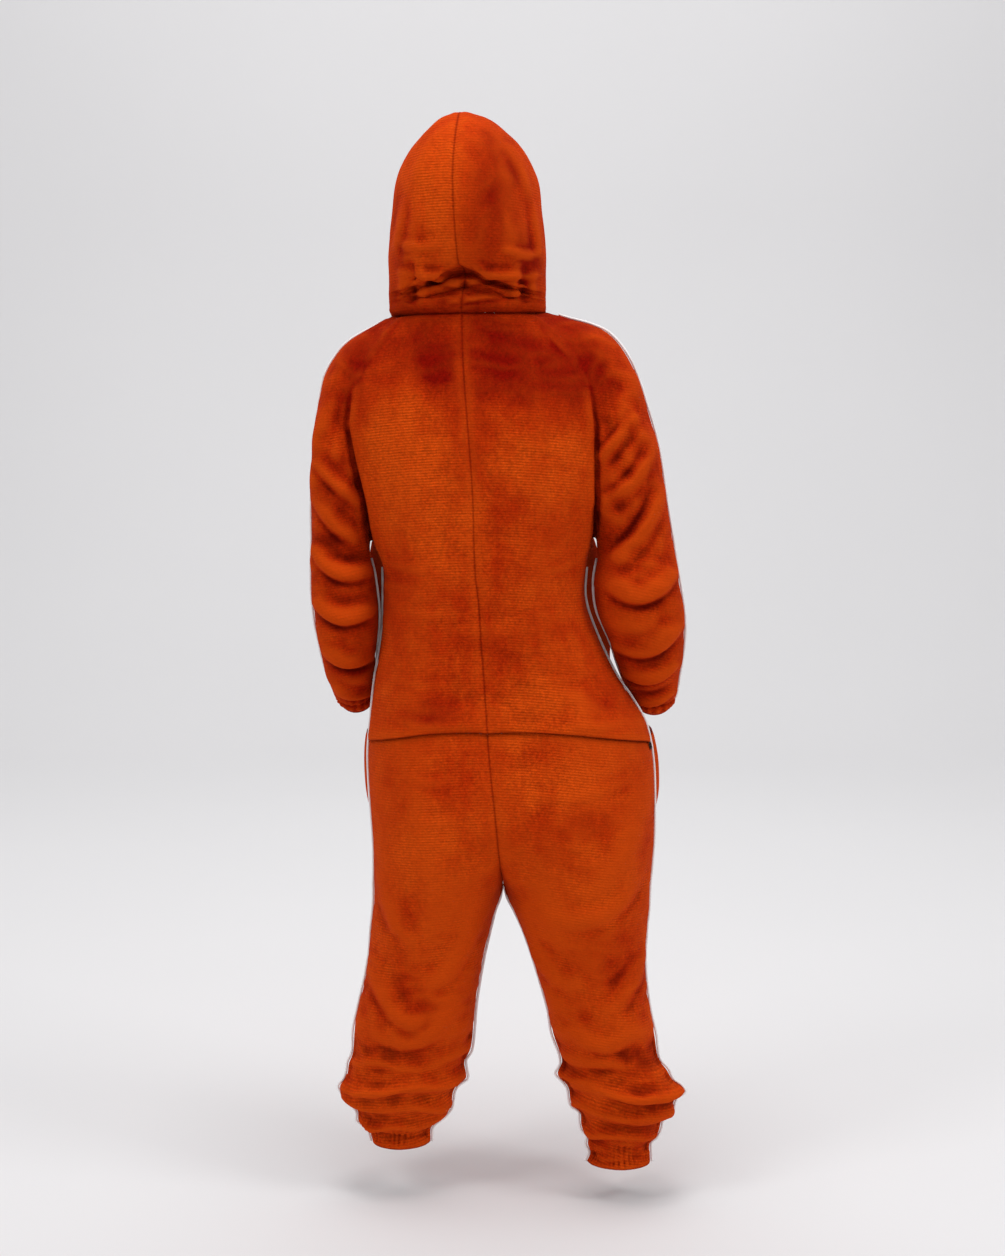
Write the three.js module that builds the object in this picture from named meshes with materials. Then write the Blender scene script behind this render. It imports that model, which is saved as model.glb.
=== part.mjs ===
// A hooded gingerbread onesie, worn and hollow, seen best from behind.
// Units are millimetres, +Z is up, the front faces -Y and the wearer's left is +X.
// The origin is the middle of the neck base, 1500 mm above the floor.
//
// The whole outer surface is drawn first, as grids between seam lines. Folds are then
// raised in its points, and each panel becomes a closed wall with a hair gap at its seams.

import * as THREE from "three";

const LEFT = 1; // the wearer's left, +X
const RIGHT = -1;

// Driving dimensions
const CLOTH = 2.4; // thickness of the plush
const SEAM_GAP = 0.3; // between two pieces at a seam
const PIPING = 3.2; // width of the white piping
const PIPING_RISE = 2.7; // and its height out of the seam
const ON_CLOTH = 0.9; // what lies on a panel stands this far off it
const PLACKET_WIDTH = 0.5; // half width, in columns of the front
const PLACKET_END = -700;
const BUTTON = { radius: 13, height: 4, sides: 14, heights: [-135, -245, -355, -465, -575, -680] };
// The pocket runs between two columns of the front, and its height is taken at another.
const POCKET = { mouth: -706, foot: -895, inner: 2.2, column: 4, outer: 5.7, columns: 6, footRise: 2.4 };
const POCKET_BULGE = { [LEFT]: 31, [RIGHT]: 42 }; // room for a hand
const TAPE = { cloth: 1.0, reach: 0.32, left: 6, right: 7.3 }; // of the seat zip
const SLIDER = { width: 9, length: 11, height: 4, below: 0.3, off: 1.3 };

// Rows of the upper body, from the neckline to the underarm. Each row runs from the
// centre line over the crease beside the sleeve to the overarm seam.
const YOKE_COLUMNS = ["z", "backY", "frontZ", "frontY", "creaseX", "creaseZ", "creaseBackY",
  "creaseFrontY", "outX", "outY", "outZ", "sleeveBulge", "round"];
const YOKE_LEFT = [
  [-28, 70, -84, -82, 96, -31, 46, -48, 127, 0, -32, 0, 0.5],
  [-58, 84, -108, -98, 118, -44, 62, -60, 156, 1, -50, 10, 0.45],
  [-100, 99, -140, -112, 150, -84, 72, -74, 199, 2, -76, 26, 0.42],
  [-150, 112, -180, -124, 182, -142, 76, -80, 233, 2, -126, 40, 0.45],
  [-205, 120, -228, -132, 190, -205, 72, -78, 246, 2, -196, 52, 0.55],
  [-265, 122, -280, -136, 180, -265, 62, -66, 253, 3, -262, 60, 0.68],
  [-325, 120, -334, -136, 168, -325, 46, -48, 257, 5, -330, 64, 0.82],
  [-380, 117, -384, -135, 159, -392, -4, -4, 257, 8, -396, 64, 0.95],
];
const YOKE_RIGHT = [
  [-28, 70, -84, -82, -96, -28, 46, -48, -128, 4, -25, 0, 0.5],
  [-58, 84, -108, -98, -120, -42, 62, -60, -168, 8, -36, 10, 0.45],
  [-100, 99, -140, -112, -160, -80, 74, -74, -225, 14, -56, 26, 0.42],
  [-150, 112, -180, -124, -194, -140, 80, -80, -264, 18, -104, 40, 0.45],
  [-205, 120, -228, -132, -203, -205, 78, -78, -291, 16, -176, 52, 0.55],
  [-265, 122, -280, -136, -204, -265, 70, -66, -312, 12, -250, 60, 0.68],
  [-325, 120, -334, -136, -205, -325, 54, -48, -323, 10, -320, 66, 0.82],
  [-380, 117, -384, -135, -206, -386, -4, -4, -335, 10, -390, 68, 0.95],
];

// Rows of each sleeve below the underarm, down to the hem of its cuff.
const SLEEVE_COLUMNS = ["inX", "inY", "inZ", "outX", "outY", "outZ", "backDepth", "frontDepth"];
const SLEEVE_LEFT = [
  [161, -2, -425, 258, 10, -432, 62, 58],
  [152, 4, -470, 258, 10, -478, 66, 56],
  [148, 2, -520, 254, 4, -526, 64, 56],
  [153, -14, -570, 247, -16, -574, 58, 52],
  [158, -40, -618, 238, -42, -622, 48, 46],
  [162, -66, -652, 228, -70, -654, 36, 34],
  [162, -80, -674, 222, -83, -668, 33, 31],
];
const SLEEVE_RIGHT = [
  [-212, 0, -425, -341, 12, -430, 70, 60],
  [-206, 6, -466, -349, 14, -474, 72, 60],
  [-212, 4, -512, -356, 8, -524, 68, 58],
  [-233, -12, -560, -357, -12, -572, 62, 54],
  [-250, -38, -608, -353, -40, -620, 52, 48],
  [-266, -66, -648, -350, -68, -658, 38, 36],
  [-276, -84, -672, -347, -86, -672, 34, 32],
];

// Rows of the body below the underarm and of both legs, down to the hems.
const BODY_COLUMNS = ["z", "sideX", "sideY", "backY", "frontY"];
const BODY_LEFT = [
  [-440, 141, -6, 116, -133],
  [-494, 141, -8, 113, -131],
  [-560, 145, -10, 111, -129],
  [-625, 156, -12, 113, -128],
  [-690, 163, -14, 120, -127],
  [-755, 168, -14, 132, -127],
  [-830, 165, -12, 142, -126],
  [-905, 160, -10, 142, -123],
  [-970, 160, -8, 132, -117],
  [-1010, 161, -6, 122, -108],
  [-1050, 165, -4, 112, -100],
  [-1110, 171, -2, 102, -90],
  [-1190, 189, 0, 96, -84],
  [-1258, 205, 2, 92, -82],
  [-1310, 223, 4, 90, -80],
  [-1352, 208, 6, 80, -70],
  [-1388, 188, 8, 66, -56],
  [-1414, 166, 8, 54, -42],
];
const BODY_RIGHT = [
  [-440, -194, -6, 116, -133],
  [-494, -193, -8, 113, -131],
  [-560, -216, -10, 111, -129],
  [-625, -248, -12, 113, -128],
  [-690, -290, -14, 120, -127],
  [-755, -306, -14, 132, -127],
  [-830, -310, -12, 142, -126],
  [-905, -309, -8, 144, -123],
  [-970, -303, -2, 140, -112],
  [-1010, -301, 4, 134, -104],
  [-1050, -297, 10, 126, -94],
  [-1110, -295, 16, 118, -80],
  [-1190, -305, 22, 116, -72],
  [-1258, -327, 28, 116, -66],
  [-1310, -364, 32, 116, -62],
  [-1352, -348, 36, 108, -52],
  [-1396, -324, 38, 96, -36],
  [-1438, -306, 40, 84, -20],
];
// The fronts billow out behind the arms, as far as this in a few columns of each row.
const BILLOW = { [LEFT]: 28, [RIGHT]: 30 };
const BILLOW_SHARES = [0.35, 0.9, 1, 0];
const BILLOW_TOP = { none: -366, full: -402 };
const BILLOW_FULL = { [LEFT]: -530, [RIGHT]: -556 }; // it fades from here
const BILLOW_FOOT = { [LEFT]: -600, [RIGHT]: -624 };

// The centre line above the crotch, and the inner leg seams from the crotch down.
const CENTRE_COLUMNS = ["x", "backY", "frontY"];
const CENTRE = [
  [-12, 114, -133],
  [-18, 110, -131],
  [-22, 108, -129],
  [-27, 110, -128],
  [-31, 117, -127],
  [-36, 129, -126],
  [-44, 137, -122],
  [-51, 116, -98],
  [-57, 8, 8],
];
const CROTCH_ROW = 8;
const CROTCH_Z = -970;
const INSEAM_COLUMNS = ["x", "y"];
const INSEAM_LEFT = [
  [-57, 8], [-45, 2], [-35, 0], [-22, 0], [-10, 1],
  [-7, 3], [5, 5], [25, 8], [48, 10], [64, 10],
];
const INSEAM_RIGHT = [
  [-57, 8], [-74, 10], [-92, 12], [-112, 14], [-134, 18],
  [-141, 24], [-149, 28], [-171, 32], [-184, 36], [-196, 38],
];
const WAIST_ROW = 4.14; // place of the waist seam, in rows below the underarm
const WAIST_DROP = { [LEFT]: 0.5, [RIGHT]: 0.56 }; // lower at the side seams, in rows
const WAIST_WAVE = 0.05;
const WAIST_REACH = 1.5; // rows over which the slant fades
const LIP = 6; // the upper back stands out over the seat zip

// Rows of the hood, from the neckline over the crown to the front edge.
const HOOD_COLUMNS = ["backY", "backZ", "backX", "midY", "midZ", "sideX", "sideY", "sideZ",
  "frontX", "frontY", "frontZ"];
const HOOD = [
  [70, -28, 10, 54, -31, 127.5, 2, -29, 48, -79, -70],
  [84, -14, 9, 70, -20, 127.5, 2, -20, 51, -86, -60],
  [86, 4, 7, 72, -10, 127, 2, -16, 52, -94, -42],
  [68, 12, 5, 66, -4, 127, 2, -12, 53, -101, -26],
  [82, 24, 3, 72, 2, 127, 1, -8, 56, -106, -12],
  [66, 34, 4, 67, 8, 127, 0, -4, 60, -110, 2],
  [84, 45, 8, 82, 13, 127, 0, 2, 66, -114, 18],
  [112, 50, 14, 103, 21, 127, -2, 14, 70, -118, 38],
  [128, 92, 18, 116, 80, 127, -4, 84, 80, -121, 80],
  [131, 140, 21, 114, 134, 121, -6, 132, 86, -124, 118],
  [124, 190, 22, 104, 186, 116, -8, 180, 89, -124, 152],
  [100, 240, 19, 82, 236, 98, -12, 224, 88, -120, 186],
  [64, 276, 15, 50, 270, 72, -18, 252, 82, -114, 212],
  [14, 295, 12, 6, 287, 48, -34, 272, 70, -108, 234],
  [-42, 287, 9, -46, 281, 34, -62, 270, 54, -104, 250],
  [-94, 270, 7, -95, 268, 25, -98, 264, 42, -101, 258],
];
const HOOD_MID = 0.62; // where the mid line stands between the seam and the side
const BAND_WIDTH = 37;
const BAND_IN = 16; // how far the front band turns in
const BAND_COLUMNS = 2;
const FACE = new THREE.Vector3(0, -120, 90); // the band turns in towards here
const BAND_START = 2; // rows of the hood below the band's ends

// Soft folds of the back, seen from behind. Each is a path of x and z with its width and
// height, which fades at both ends.
const FOLD_COLUMNS = ["x0", "z0", "x1", "z1", "x2", "z2", "width", "height"];
const FOLDS_TOP = -40; // the neck's own rows carry the folds above
const SLEEVE_BACK_FOLDS = [
  [246, -170, 214, -235, 186, -300, 13, 8],
  [254, -215, 222, -272, 182, -332, 12, 9],
  [258, -262, 226, -318, 182, -366, 13, 9],
  [262, -318, 232, -364, 186, -402, 12, 7],
  [250, -150, 244, -250, 248, -350, 12, 6],
  [232, -380, 244, -430, 240, -490, 14, 6],
  [258, -412, 215, -438, 168, -446, 15, 8],
  [256, -486, 210, -508, 162, -506, 15, 8],
  [250, -560, 206, -580, 164, -566, 14, 8],
  [238, -622, 204, -642, 172, -628, 10, 7],
  [-276, -140, -240, -210, -214, -290, 13, 8],
  [-292, -200, -252, -270, -216, -330, 13, 9],
  [-306, -262, -262, -330, -220, -366, 13, 8],
  [-316, -330, -300, -400, -286, -452, 13, 7],
  [-300, -380, -262, -412, -224, -420, 14, 7],
  [-342, -430, -286, -462, -226, -454, 16, 8],
  [-348, -520, -296, -548, -242, -526, 15, 8],
  [-346, -600, -306, -622, -268, -606, 12, 8],
  [-346, -650, -318, -664, -294, -656, 8, 6],
];
const SLEEVE_FRONT_FOLDS = [
  [248, -190, 210, -260, 180, -330, 14, 8],
  [-296, -200, -250, -280, -216, -350, 14, 8],
  [254, -440, 210, -462, 166, -450, 15, 8],
  [250, -530, 206, -552, 162, -540, 14, 7],
  [-340, -440, -286, -468, -226, -452, 16, 8],
  [-346, -540, -300, -560, -244, -544, 15, 7],
];
const BODY_BACK_FOLDS = [
  [-290, -800, -240, -905, -190, -1010, 22, 9],
  [-280, -880, -246, -960, -222, -1060, 18, 6],
  [-74, -1000, -104, -1080, -150, -1170, 16, 6],
  [-110, -970, -150, -1030, -196, -1070, 20, 6],
  [150, -800, 132, -930, 104, -1050, 20, 6],
  [10, -1100, 44, -1180, 92, -1240, 18, 6],
  [154, -1090, 130, -1160, 60, -1200, 16, 5],
  [-280, -1150, -240, -1200, -170, -1224, 18, 6],
  [60, -520, -40, -536, -150, -520, 16, 2.5],
  [110, -640, 20, -668, -80, -660, 18, 3],
  [-100, -640, -180, -652, -230, -700, 16, 4],
];
const BODY_FRONT_FOLDS = [
  [14, -612, 60, -638, 110, -650, 20, 5],
  [-66, -590, -110, -615, -180, -640, 20, 5],
  [66, -936, 100, -990, 130, -1050, 20, 7],
  [-96, -946, -160, -1000, -240, -1030, 20, 7],
  [-30, -930, 30, -990, 90, -1000, 16, 6],
  [-120, -1000, -170, -1080, -210, -1160, 18, 6],
  [20, -1060, 70, -1140, 120, -1200, 18, 6],
];

// Rolls of loose cloth that stack all round above the ankles and the cuffs.
// Each has its height at the leg's middle, its slope and its wander.
const ROLL_COLUMNS = ["side", "z", "tilt", "wave", "width", "height"];
const LEG_ROLLS = [
  [LEFT, -1268, -0.04, 5, 11, 8],
  [LEFT, -1308, -0.10, 6, 12, 13],
  [LEFT, -1346, 0.04, 5, 10, 10],
  [LEFT, -1380, -0.06, 4, 9, 9],
  [RIGHT, -1262, -0.10, 6, 11, 8],
  [RIGHT, -1304, -0.14, 6, 13, 13],
  [RIGHT, -1348, -0.10, 6, 11, 11],
  [RIGHT, -1388, -0.06, 5, 10, 9],
  [RIGHT, -1420, -0.04, 3, 8, 6],
];
const LEG_AXIS = { [LEFT]: 106, [RIGHT]: -240 };
const ROLLS_START = -1215;
const ROLLS_FULL = -1265;
const ROLLS_FADE = { [LEFT]: -1396, [RIGHT]: -1420 }; // the rolls end above the hem
const HEM_FLAT = { [LEFT]: -1416, [RIGHT]: -1440 };
const BETWEEN_LEGS = -80;

// Small tools

const V = (x, y, z) => new THREE.Vector3(x, y, z);
const mix = THREE.MathUtils.lerp;
const smooth = THREE.MathUtils.smoothstep;

// A row of a table as an object with its columns' names.
function named(columns, row) {
  return Object.fromEntries(columns.map((name, i) => [name, row[i]]));
}

// A smooth value down a table's column, at row place v.
function column(table, columns, name, v) {
  const i = columns.indexOf(name);
  const last = table.length - 1;
  const k = Math.min(Math.max(Math.floor(v), 0), last - 1);
  const t = v - k;
  const p = (j) => table[Math.min(Math.max(j, 0), last)][i];
  const a = p(k);
  const b = p(k + 1);
  const slopeA = (b - p(k - 1)) / (k > 0 ? 2 : 1);
  const slopeB = (p(k + 2) - a) / (k + 2 <= last ? 2 : 1);
  const t2 = t * t;
  const t3 = t2 * t;
  return (2 * t3 - 3 * t2 + 1) * a + (t3 - 2 * t2 + t) * slopeA
    + (3 * t2 - 2 * t3) * b + (t3 - t2) * slopeB;
}

// All the columns of a table at row place v.
function rowAt(table, columns, v) {
  return Object.fromEntries(columns.map((name) => [name, column(table, columns, name, v)]));
}

// A quarter of a rounded corner from a to b. round 0 is nearly straight, 1 an ellipse.
function arc(a, corner, b, steps, round = 1) {
  const middle = a.clone().add(b).multiplyScalar(0.5);
  const knee = middle.lerp(corner, round);
  const points = [];
  for (let i = 0; i <= steps; i++) {
    const angle = (i / steps) * Math.PI / 2;
    const fromA = a.clone().sub(knee).multiplyScalar(1 - Math.sin(angle));
    const fromB = b.clone().sub(knee).multiplyScalar(1 - Math.cos(angle));
    points.push(knee.clone().add(fromA).add(fromB));
  }
  return points;
}

// Arcs one after another, sharing their end points.
function chain(...arcs) {
  return arcs.flatMap((points, i) => (i ? points.slice(1) : points));
}

// The panels' rows

const TORSO_INNER = 3; // columns from the centre to the widest part of the back
const TORSO_OUTER = 5; // and on to the crease or side seam
const SLEEVE_INNER = 4;
const SLEEVE_OUTER = 4;
const FRONT_INNER = 2;
const FRONT_OUTER = 4;
const SLEEVE_FRONT = 3;
const APEX_AT = 0.5; // the widest place of a row, between its centre and its side
const YOKE_APEX_AT = 0.52;
const UNDERARM_ROW = 7; // last row of the yoke
const CENTRE_TOP = { x: 9, z: -28 }; // the centre line leans from here
const CENTRE_LOW = { x: -10, z: -380 }; // to here
const SLEEVE_LEAN = 0.35; // how much of the overarm's shift the sleeve's crown follows

// The torso part and the sleeve part of one yoke row, on the back or the front.
function yokeRow(side, v, back) {
  const r = rowAt(side === LEFT ? YOKE_LEFT : YOKE_RIGHT, YOKE_COLUMNS, v);
  const down = v / UNDERARM_ROW;
  const lean = smooth(-r.z, -CENTRE_TOP.z, -CENTRE_LOW.z);
  const z = back ? r.z : r.frontZ;
  const y = back ? r.backY : r.frontY;
  const centre = V(mix(CENTRE_TOP.x, CENTRE_LOW.x, lean), y, z);
  const creaseZ = back ? r.creaseZ : mix(r.creaseZ, z, 0.3 * (1 - down));
  const crease = V(r.creaseX, back ? r.creaseBackY : r.creaseFrontY, creaseZ);
  const dip = 0.1 * (1 - smooth(v, 2, UNDERARM_ROW));
  const apex = V(mix(centre.x, crease.x, YOKE_APEX_AT), mix(y, crease.y, dip), mix(z, crease.z, 0.4));
  const out = V(r.outX, r.outY, r.outZ);
  const middle = crease.clone().add(out).multiplyScalar(0.5);
  const bulge = back ? r.sleeveBulge : -r.sleeveBulge;
  const crown = V(middle.x, middle.y * mix(1, SLEEVE_LEAN, down) + bulge, middle.z);
  const [inner, outer] = back ? [TORSO_INNER, TORSO_OUTER] : [FRONT_INNER, FRONT_OUTER];
  const [under, over] = back ? [SLEEVE_INNER, SLEEVE_OUTER] : [SLEEVE_FRONT, SLEEVE_FRONT];
  const flat = V((centre.x + apex.x) / 2, mix(y, apex.y, 0.2), mix(z, apex.z, 0.5));
  return {
    torso: chain(
      arc(centre, flat, apex, inner, 0.6),
      arc(apex, V(crease.x, apex.y, mix(apex.z, crease.z, 0.7)), crease, outer, r.round),
    ),
    sleeve: chain(
      arc(crease, V(crease.x, crown.y, middle.z), crown, under, r.round),
      arc(crown, V(out.x, crown.y, middle.z), out, over, mix(0.8, 1, down)),
    ),
  };
}

// A sleeve row below the underarm, square to the arm's own line.
function sleeveRow(side, v, back) {
  const table = side === LEFT ? SLEEVE_LEFT : SLEEVE_RIGHT;
  const at = (w) => {
    const r = rowAt(table, SLEEVE_COLUMNS, Math.min(Math.max(w, 0), table.length - 1));
    return { r, inner: V(r.inX, r.inY, r.inZ), outer: V(r.outX, r.outY, r.outZ) };
  };
  const here = at(v);
  const before = at(v - 0.5);
  const after = at(v + 0.5);
  const middle = here.inner.clone().add(here.outer).multiplyScalar(0.5);
  const along = after.inner.clone().add(after.outer).sub(before.inner).sub(before.outer).normalize();
  const across = here.outer.clone().sub(here.inner).normalize();
  const out = across.clone().cross(along).normalize();
  if (out.y < 0) out.negate();
  const depth = back ? here.r.backDepth : -here.r.frontDepth;
  const reach = out.multiplyScalar(depth);
  const apex = middle.clone().add(reach);
  const steps = back ? [SLEEVE_INNER, SLEEVE_OUTER] : [SLEEVE_FRONT, SLEEVE_FRONT];
  return chain(
    arc(here.inner, here.inner.clone().add(reach), apex, steps[0], 0.96),
    arc(apex, here.outer.clone().add(reach), here.outer, steps[1], 0.96),
  );
}

// A body or leg row below the underarm.
function bodyRow(side, v, back) {
  const r = rowAt(side === LEFT ? BODY_LEFT : BODY_RIGHT, BODY_COLUMNS, v);
  const above = v <= CROTCH_ROW;
  const line = above
    ? rowAt(CENTRE, CENTRE_COLUMNS, v)
    : rowAt(side === LEFT ? INSEAM_LEFT : INSEAM_RIGHT, INSEAM_COLUMNS, v - CROTCH_ROW);
  const centre = V(line.x, above ? (back ? line.backY : line.frontY) : line.y, r.z);
  const outer = V(r.sideX, r.sideY, r.z);
  const apex = V(mix(line.x, r.sideX, APEX_AT), back ? r.backY : r.frontY, r.z);
  const flat = mix(0.6, 0.97, smooth(Math.abs(apex.y - centre.y), 10, 70));
  const turn = arc(apex, V(outer.x, apex.y, r.z), outer, back ? TORSO_OUTER : FRONT_OUTER, 0.97);
  if (!back) BILLOW_SHARES.forEach((share, i) => (turn[i + 1].x += share * billow(side, r.z)));
  return chain(arc(centre, V(centre.x, apex.y, r.z), apex, back ? TORSO_INNER : FRONT_INNER, flat), turn);
}

// How far out a front billows at a height.
function billow(side, z) {
  const above = smooth(-z, -BILLOW_TOP.none, -BILLOW_TOP.full);
  const below = 1 - smooth(-z, -BILLOW_FULL[side], -BILLOW_FOOT[side]);
  return side * BILLOW[side] * above * below;
}

// A body row whose columns sink towards the side seam near the waist.
function slantedRow(side, v, back) {
  const fade = Math.max(0, 1 - Math.abs(v - WAIST_ROW) / WAIST_REACH);
  const columns = bodyRow(side, v, back).length;
  const points = [];
  for (let i = 0; i < columns; i++) {
    const s = i / (columns - 1);
    const drop = WAIST_DROP[side] * s ** 2.5 - WAIST_WAVE * Math.sin(2 * Math.PI * s);
    points.push(bodyRow(side, v + fade * drop, back)[i]);
  }
  return points;
}

// Row places, closer together where the cloth bunches.
function places(...spans) {
  const list = [];
  for (const [from, to, count] of spans)
    for (let i = list.length ? 1 : 0; i <= count; i++) list.push(mix(from, to, i / count));
  return list;
}
const YOKE_PLACES = places([0, UNDERARM_ROW, 14]);
const SLEEVE_PLACES = places([0, 5, 12], [5, 6, 3]);
const UPPER_BODY_PLACES = places([0, WAIST_ROW, 10]);
const LOWER_BODY_PLACES = places([WAIST_ROW, 8, 8], [8, 13, 9], [13, 17, 13]);

// Grids of points: rows of columns

const grids = {};
const sideName = (side) => (side === LEFT ? "left" : "right");
const gridKey = (part, side, back) => `${part}_${back ? "back" : "front"}_${sideName(side)}`;
for (const side of [LEFT, RIGHT])
  for (const back of [true, false]) {
    const yoke = YOKE_PLACES.map((v) => yokeRow(side, v, back));
    const body = UPPER_BODY_PLACES.map((v) => slantedRow(side, v, back));
    const sleeve = SLEEVE_PLACES.map((v) => sleeveRow(side, v, back));
    grids[gridKey("torso", side, back)] = [...yoke.map((row) => row.torso), ...body];
    grids[gridKey("sleeve", side, back)] = [...yoke.map((row) => row.sleeve), ...sleeve];
    grids[gridKey("leg", side, back)] = LOWER_BODY_PLACES.map((v) => slantedRow(side, v, back));
  }

// The neckline of one side, from the back seam over the shoulder to the front. Every
// second point lies on the line between its neighbours, as the hood's edge runs there.
function neckline(side) {
  const rowOf = (back) => [
    ...grids[gridKey("torso", side, back)][0],
    ...grids[gridKey("sleeve", side, back)][0].slice(1),
  ];
  const back = rowOf(true);
  const front = rowOf(false).reverse();
  for (const row of [back, front])
    for (let i = 1; i < row.length - 1; i += 2)
      row[i].copy(row[i - 1]).add(row[i + 1]).multiplyScalar(0.5);
  const even = (row) => row.filter((_, i) => i % 2 === 0);
  return [...even(back), ...even(front).slice(1, -1)];
}

const HOOD_BACK = 4; // columns from the centre seam to the mid line
const HOOD_SIDE = 4; // and on to the widest line
const HOOD_FRONT = 5; // and on to the front edge
const NAPE_ROWS = 7; // rows of the hood that bunch at the nape
function hoodRow(side, v) {
  const r = rowAt(HOOD, HOOD_COLUMNS, v);
  const turn = smooth(v, 0, NAPE_ROWS);
  const back = V(r.backX, r.backY, r.backZ);
  const wide = V(side * r.sideX + turn, r.sideY, r.sideZ);
  const mid = V(mix(r.backX, wide.x, HOOD_MID), r.midY, r.midZ);
  const front = V(side * r.frontX + 3 * turn, r.frontY, r.frontZ);
  return chain(
    arc(back, V(mix(back.x, mid.x, 0.56), back.y, mix(back.z, mid.z, 0.5)), mid, HOOD_BACK),
    arc(mid, V(wide.x, mix(wide.y, mid.y, 0.61), mix(mid.z, wide.z, 0.6)), wide, HOOD_SIDE),
    arc(wide, V(wide.x, mix(wide.y, front.y, 0.75), mix(wide.z, front.z, 0.6)), front, HOOD_FRONT,
      mix(0.2, 0.8, smooth(v, 0, 6))),
  );
}
const HOOD_PLACES = places([0, NAPE_ROWS, 14], [NAPE_ROWS, HOOD.length - 1, 11]);
for (const side of [LEFT, RIGHT]) {
  const rows = HOOD_PLACES.map((v) => hoodRow(side, v));
  rows[0] = neckline(side);
  grids[`hood_${sideName(side)}`] = rows;
}

// The front band of the hood, from the piping inwards round the face.
function bandGrid() {
  const edge = (side) => {
    const rows = grids[`hood_${sideName(side)}`];
    const sideEdge = rows.slice(BAND_START).map((row) => row[row.length - 1]);
    const topEdge = rows[rows.length - 1].slice(0, -1).reverse();
    return [...sideEdge, ...topEdge];
  };
  const left = edge(LEFT);
  const right = edge(RIGHT).reverse().slice(1);
  const line = [...left, ...right];
  return line.map((p) => {
    const inward = FACE.clone().sub(p).setY(0).normalize();
    const row = [];
    for (let i = 0; i <= BAND_COLUMNS; i++) {
      const t = i / BAND_COLUMNS;
      const turned = inward.clone().multiplyScalar(BAND_IN * t * t);
      row.push(p.clone().add(turned).add(V(0, -BAND_WIDTH * t, 0)));
    }
    return row;
  });
}
grids.hood_band = bandGrid();

// Welding all grids into one surface

const pool = []; // every point of the outer surface once
const ids = new Map();
const onSleeve = new Set(); // points of the sleeves, whose folds are their own
const WELD = 0.02; // points closer than this are one
function idOf(p) {
  const cell = [p.x, p.y, p.z].map((c) => Math.round(c / WELD));
  for (const dx of [0, -1, 1])
    for (const dy of [0, -1, 1])
      for (const dz of [0, -1, 1]) {
        const near = ids.get([cell[0] + dx, cell[1] + dy, cell[2] + dz].join());
        if (near !== undefined) return near;
      }
  ids.set(cell.join(), pool.length);
  pool.push({ p: p.clone(), n: V(0, 0, 0), rise: 0 });
  return pool.length - 1;
}
const indexed = {};
for (const [key, rows] of Object.entries(grids)) {
  indexed[key] = rows.map((row) => row.map(idOf));
  if (key.startsWith("sleeve")) indexed[key].flat().forEach((id) => onSleeve.add(id));
}

// The two triangles of each cell of a grid, turned to face along the outward hint.
function facesOf(rows, hint) {
  const faces = [];
  let facing = 0;
  for (let r = 0; r + 1 < rows.length; r++)
    for (let c = 0; c + 1 < rows[r].length; c++) {
      const [a, b, d, e] = [rows[r][c], rows[r][c + 1], rows[r + 1][c + 1], rows[r + 1][c]];
      const short = pool[a].p.distanceTo(pool[d].p) < pool[b].p.distanceTo(pool[e].p);
      const pair = short ? [[a, b, d], [a, d, e]] : [[a, b, e], [b, d, e]];
      for (const f of pair) {
        if (new Set(f).size < 3) continue;
        faces.push(f);
        facing += faceNormal(f).dot(hint(pool[f[0]].p));
      }
    }
  return facing < 0 ? faces.map(([a, b, c]) => [a, c, b]) : faces;
}
function faceNormal([a, b, c]) {
  const ab = pool[b].p.clone().sub(pool[a].p);
  return ab.cross(pool[c].p.clone().sub(pool[a].p)).multiplyScalar(0.5);
}

const backward = () => V(0, 1, 0);
const forward = () => V(0, -1, 0);
const HOOD_CENTRE = V(0, 0, 110);
const fromHead = (p) => p.clone().sub(HOOD_CENTRE);
const faces = {};
for (const key of Object.keys(indexed)) {
  const hint = key.startsWith("hood") ? fromHead : key.includes("_back_") ? backward : forward;
  faces[key] = facesOf(indexed[key], hint);
}

function refreshNormals() {
  for (const v of pool) v.n.set(0, 0, 0);
  for (const list of Object.values(faces))
    for (const f of list) {
      const n = faceNormal(f);
      for (const i of f) pool[i].n.add(n);
    }
  for (const v of pool) v.n.normalize();
}

// Folds, raised in the points along their own normals

function foldHeight(table, p) {
  let height = 0;
  for (const row of table) {
    const f = named(FOLD_COLUMNS, row);
    const knots = [[f.x0, f.z0], [f.x1, f.z1], [f.x2, f.z2]];
    let best = { d: Infinity, t: 0 };
    for (let k = 0; k < 2; k++) {
      const [ax, az] = knots[k];
      const [bx, bz] = knots[k + 1];
      const length2 = (bx - ax) ** 2 + (bz - az) ** 2;
      const t = THREE.MathUtils.clamp(((p.x - ax) * (bx - ax) + (p.z - az) * (bz - az)) / length2, 0, 1);
      const d = Math.hypot(p.x - mix(ax, bx, t), p.z - mix(az, bz, t));
      if (d < best.d) best = { d, t: (k + t) / 2 };
    }
    const reach = best.d / f.width;
    const profile = Math.exp(-reach * reach) - 0.35 * Math.exp(-((reach - 1.7) ** 2) * 2);
    height += f.height * profile * Math.sin(Math.PI * mix(0.12, 0.88, best.t));
  }
  return height;
}

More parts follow.
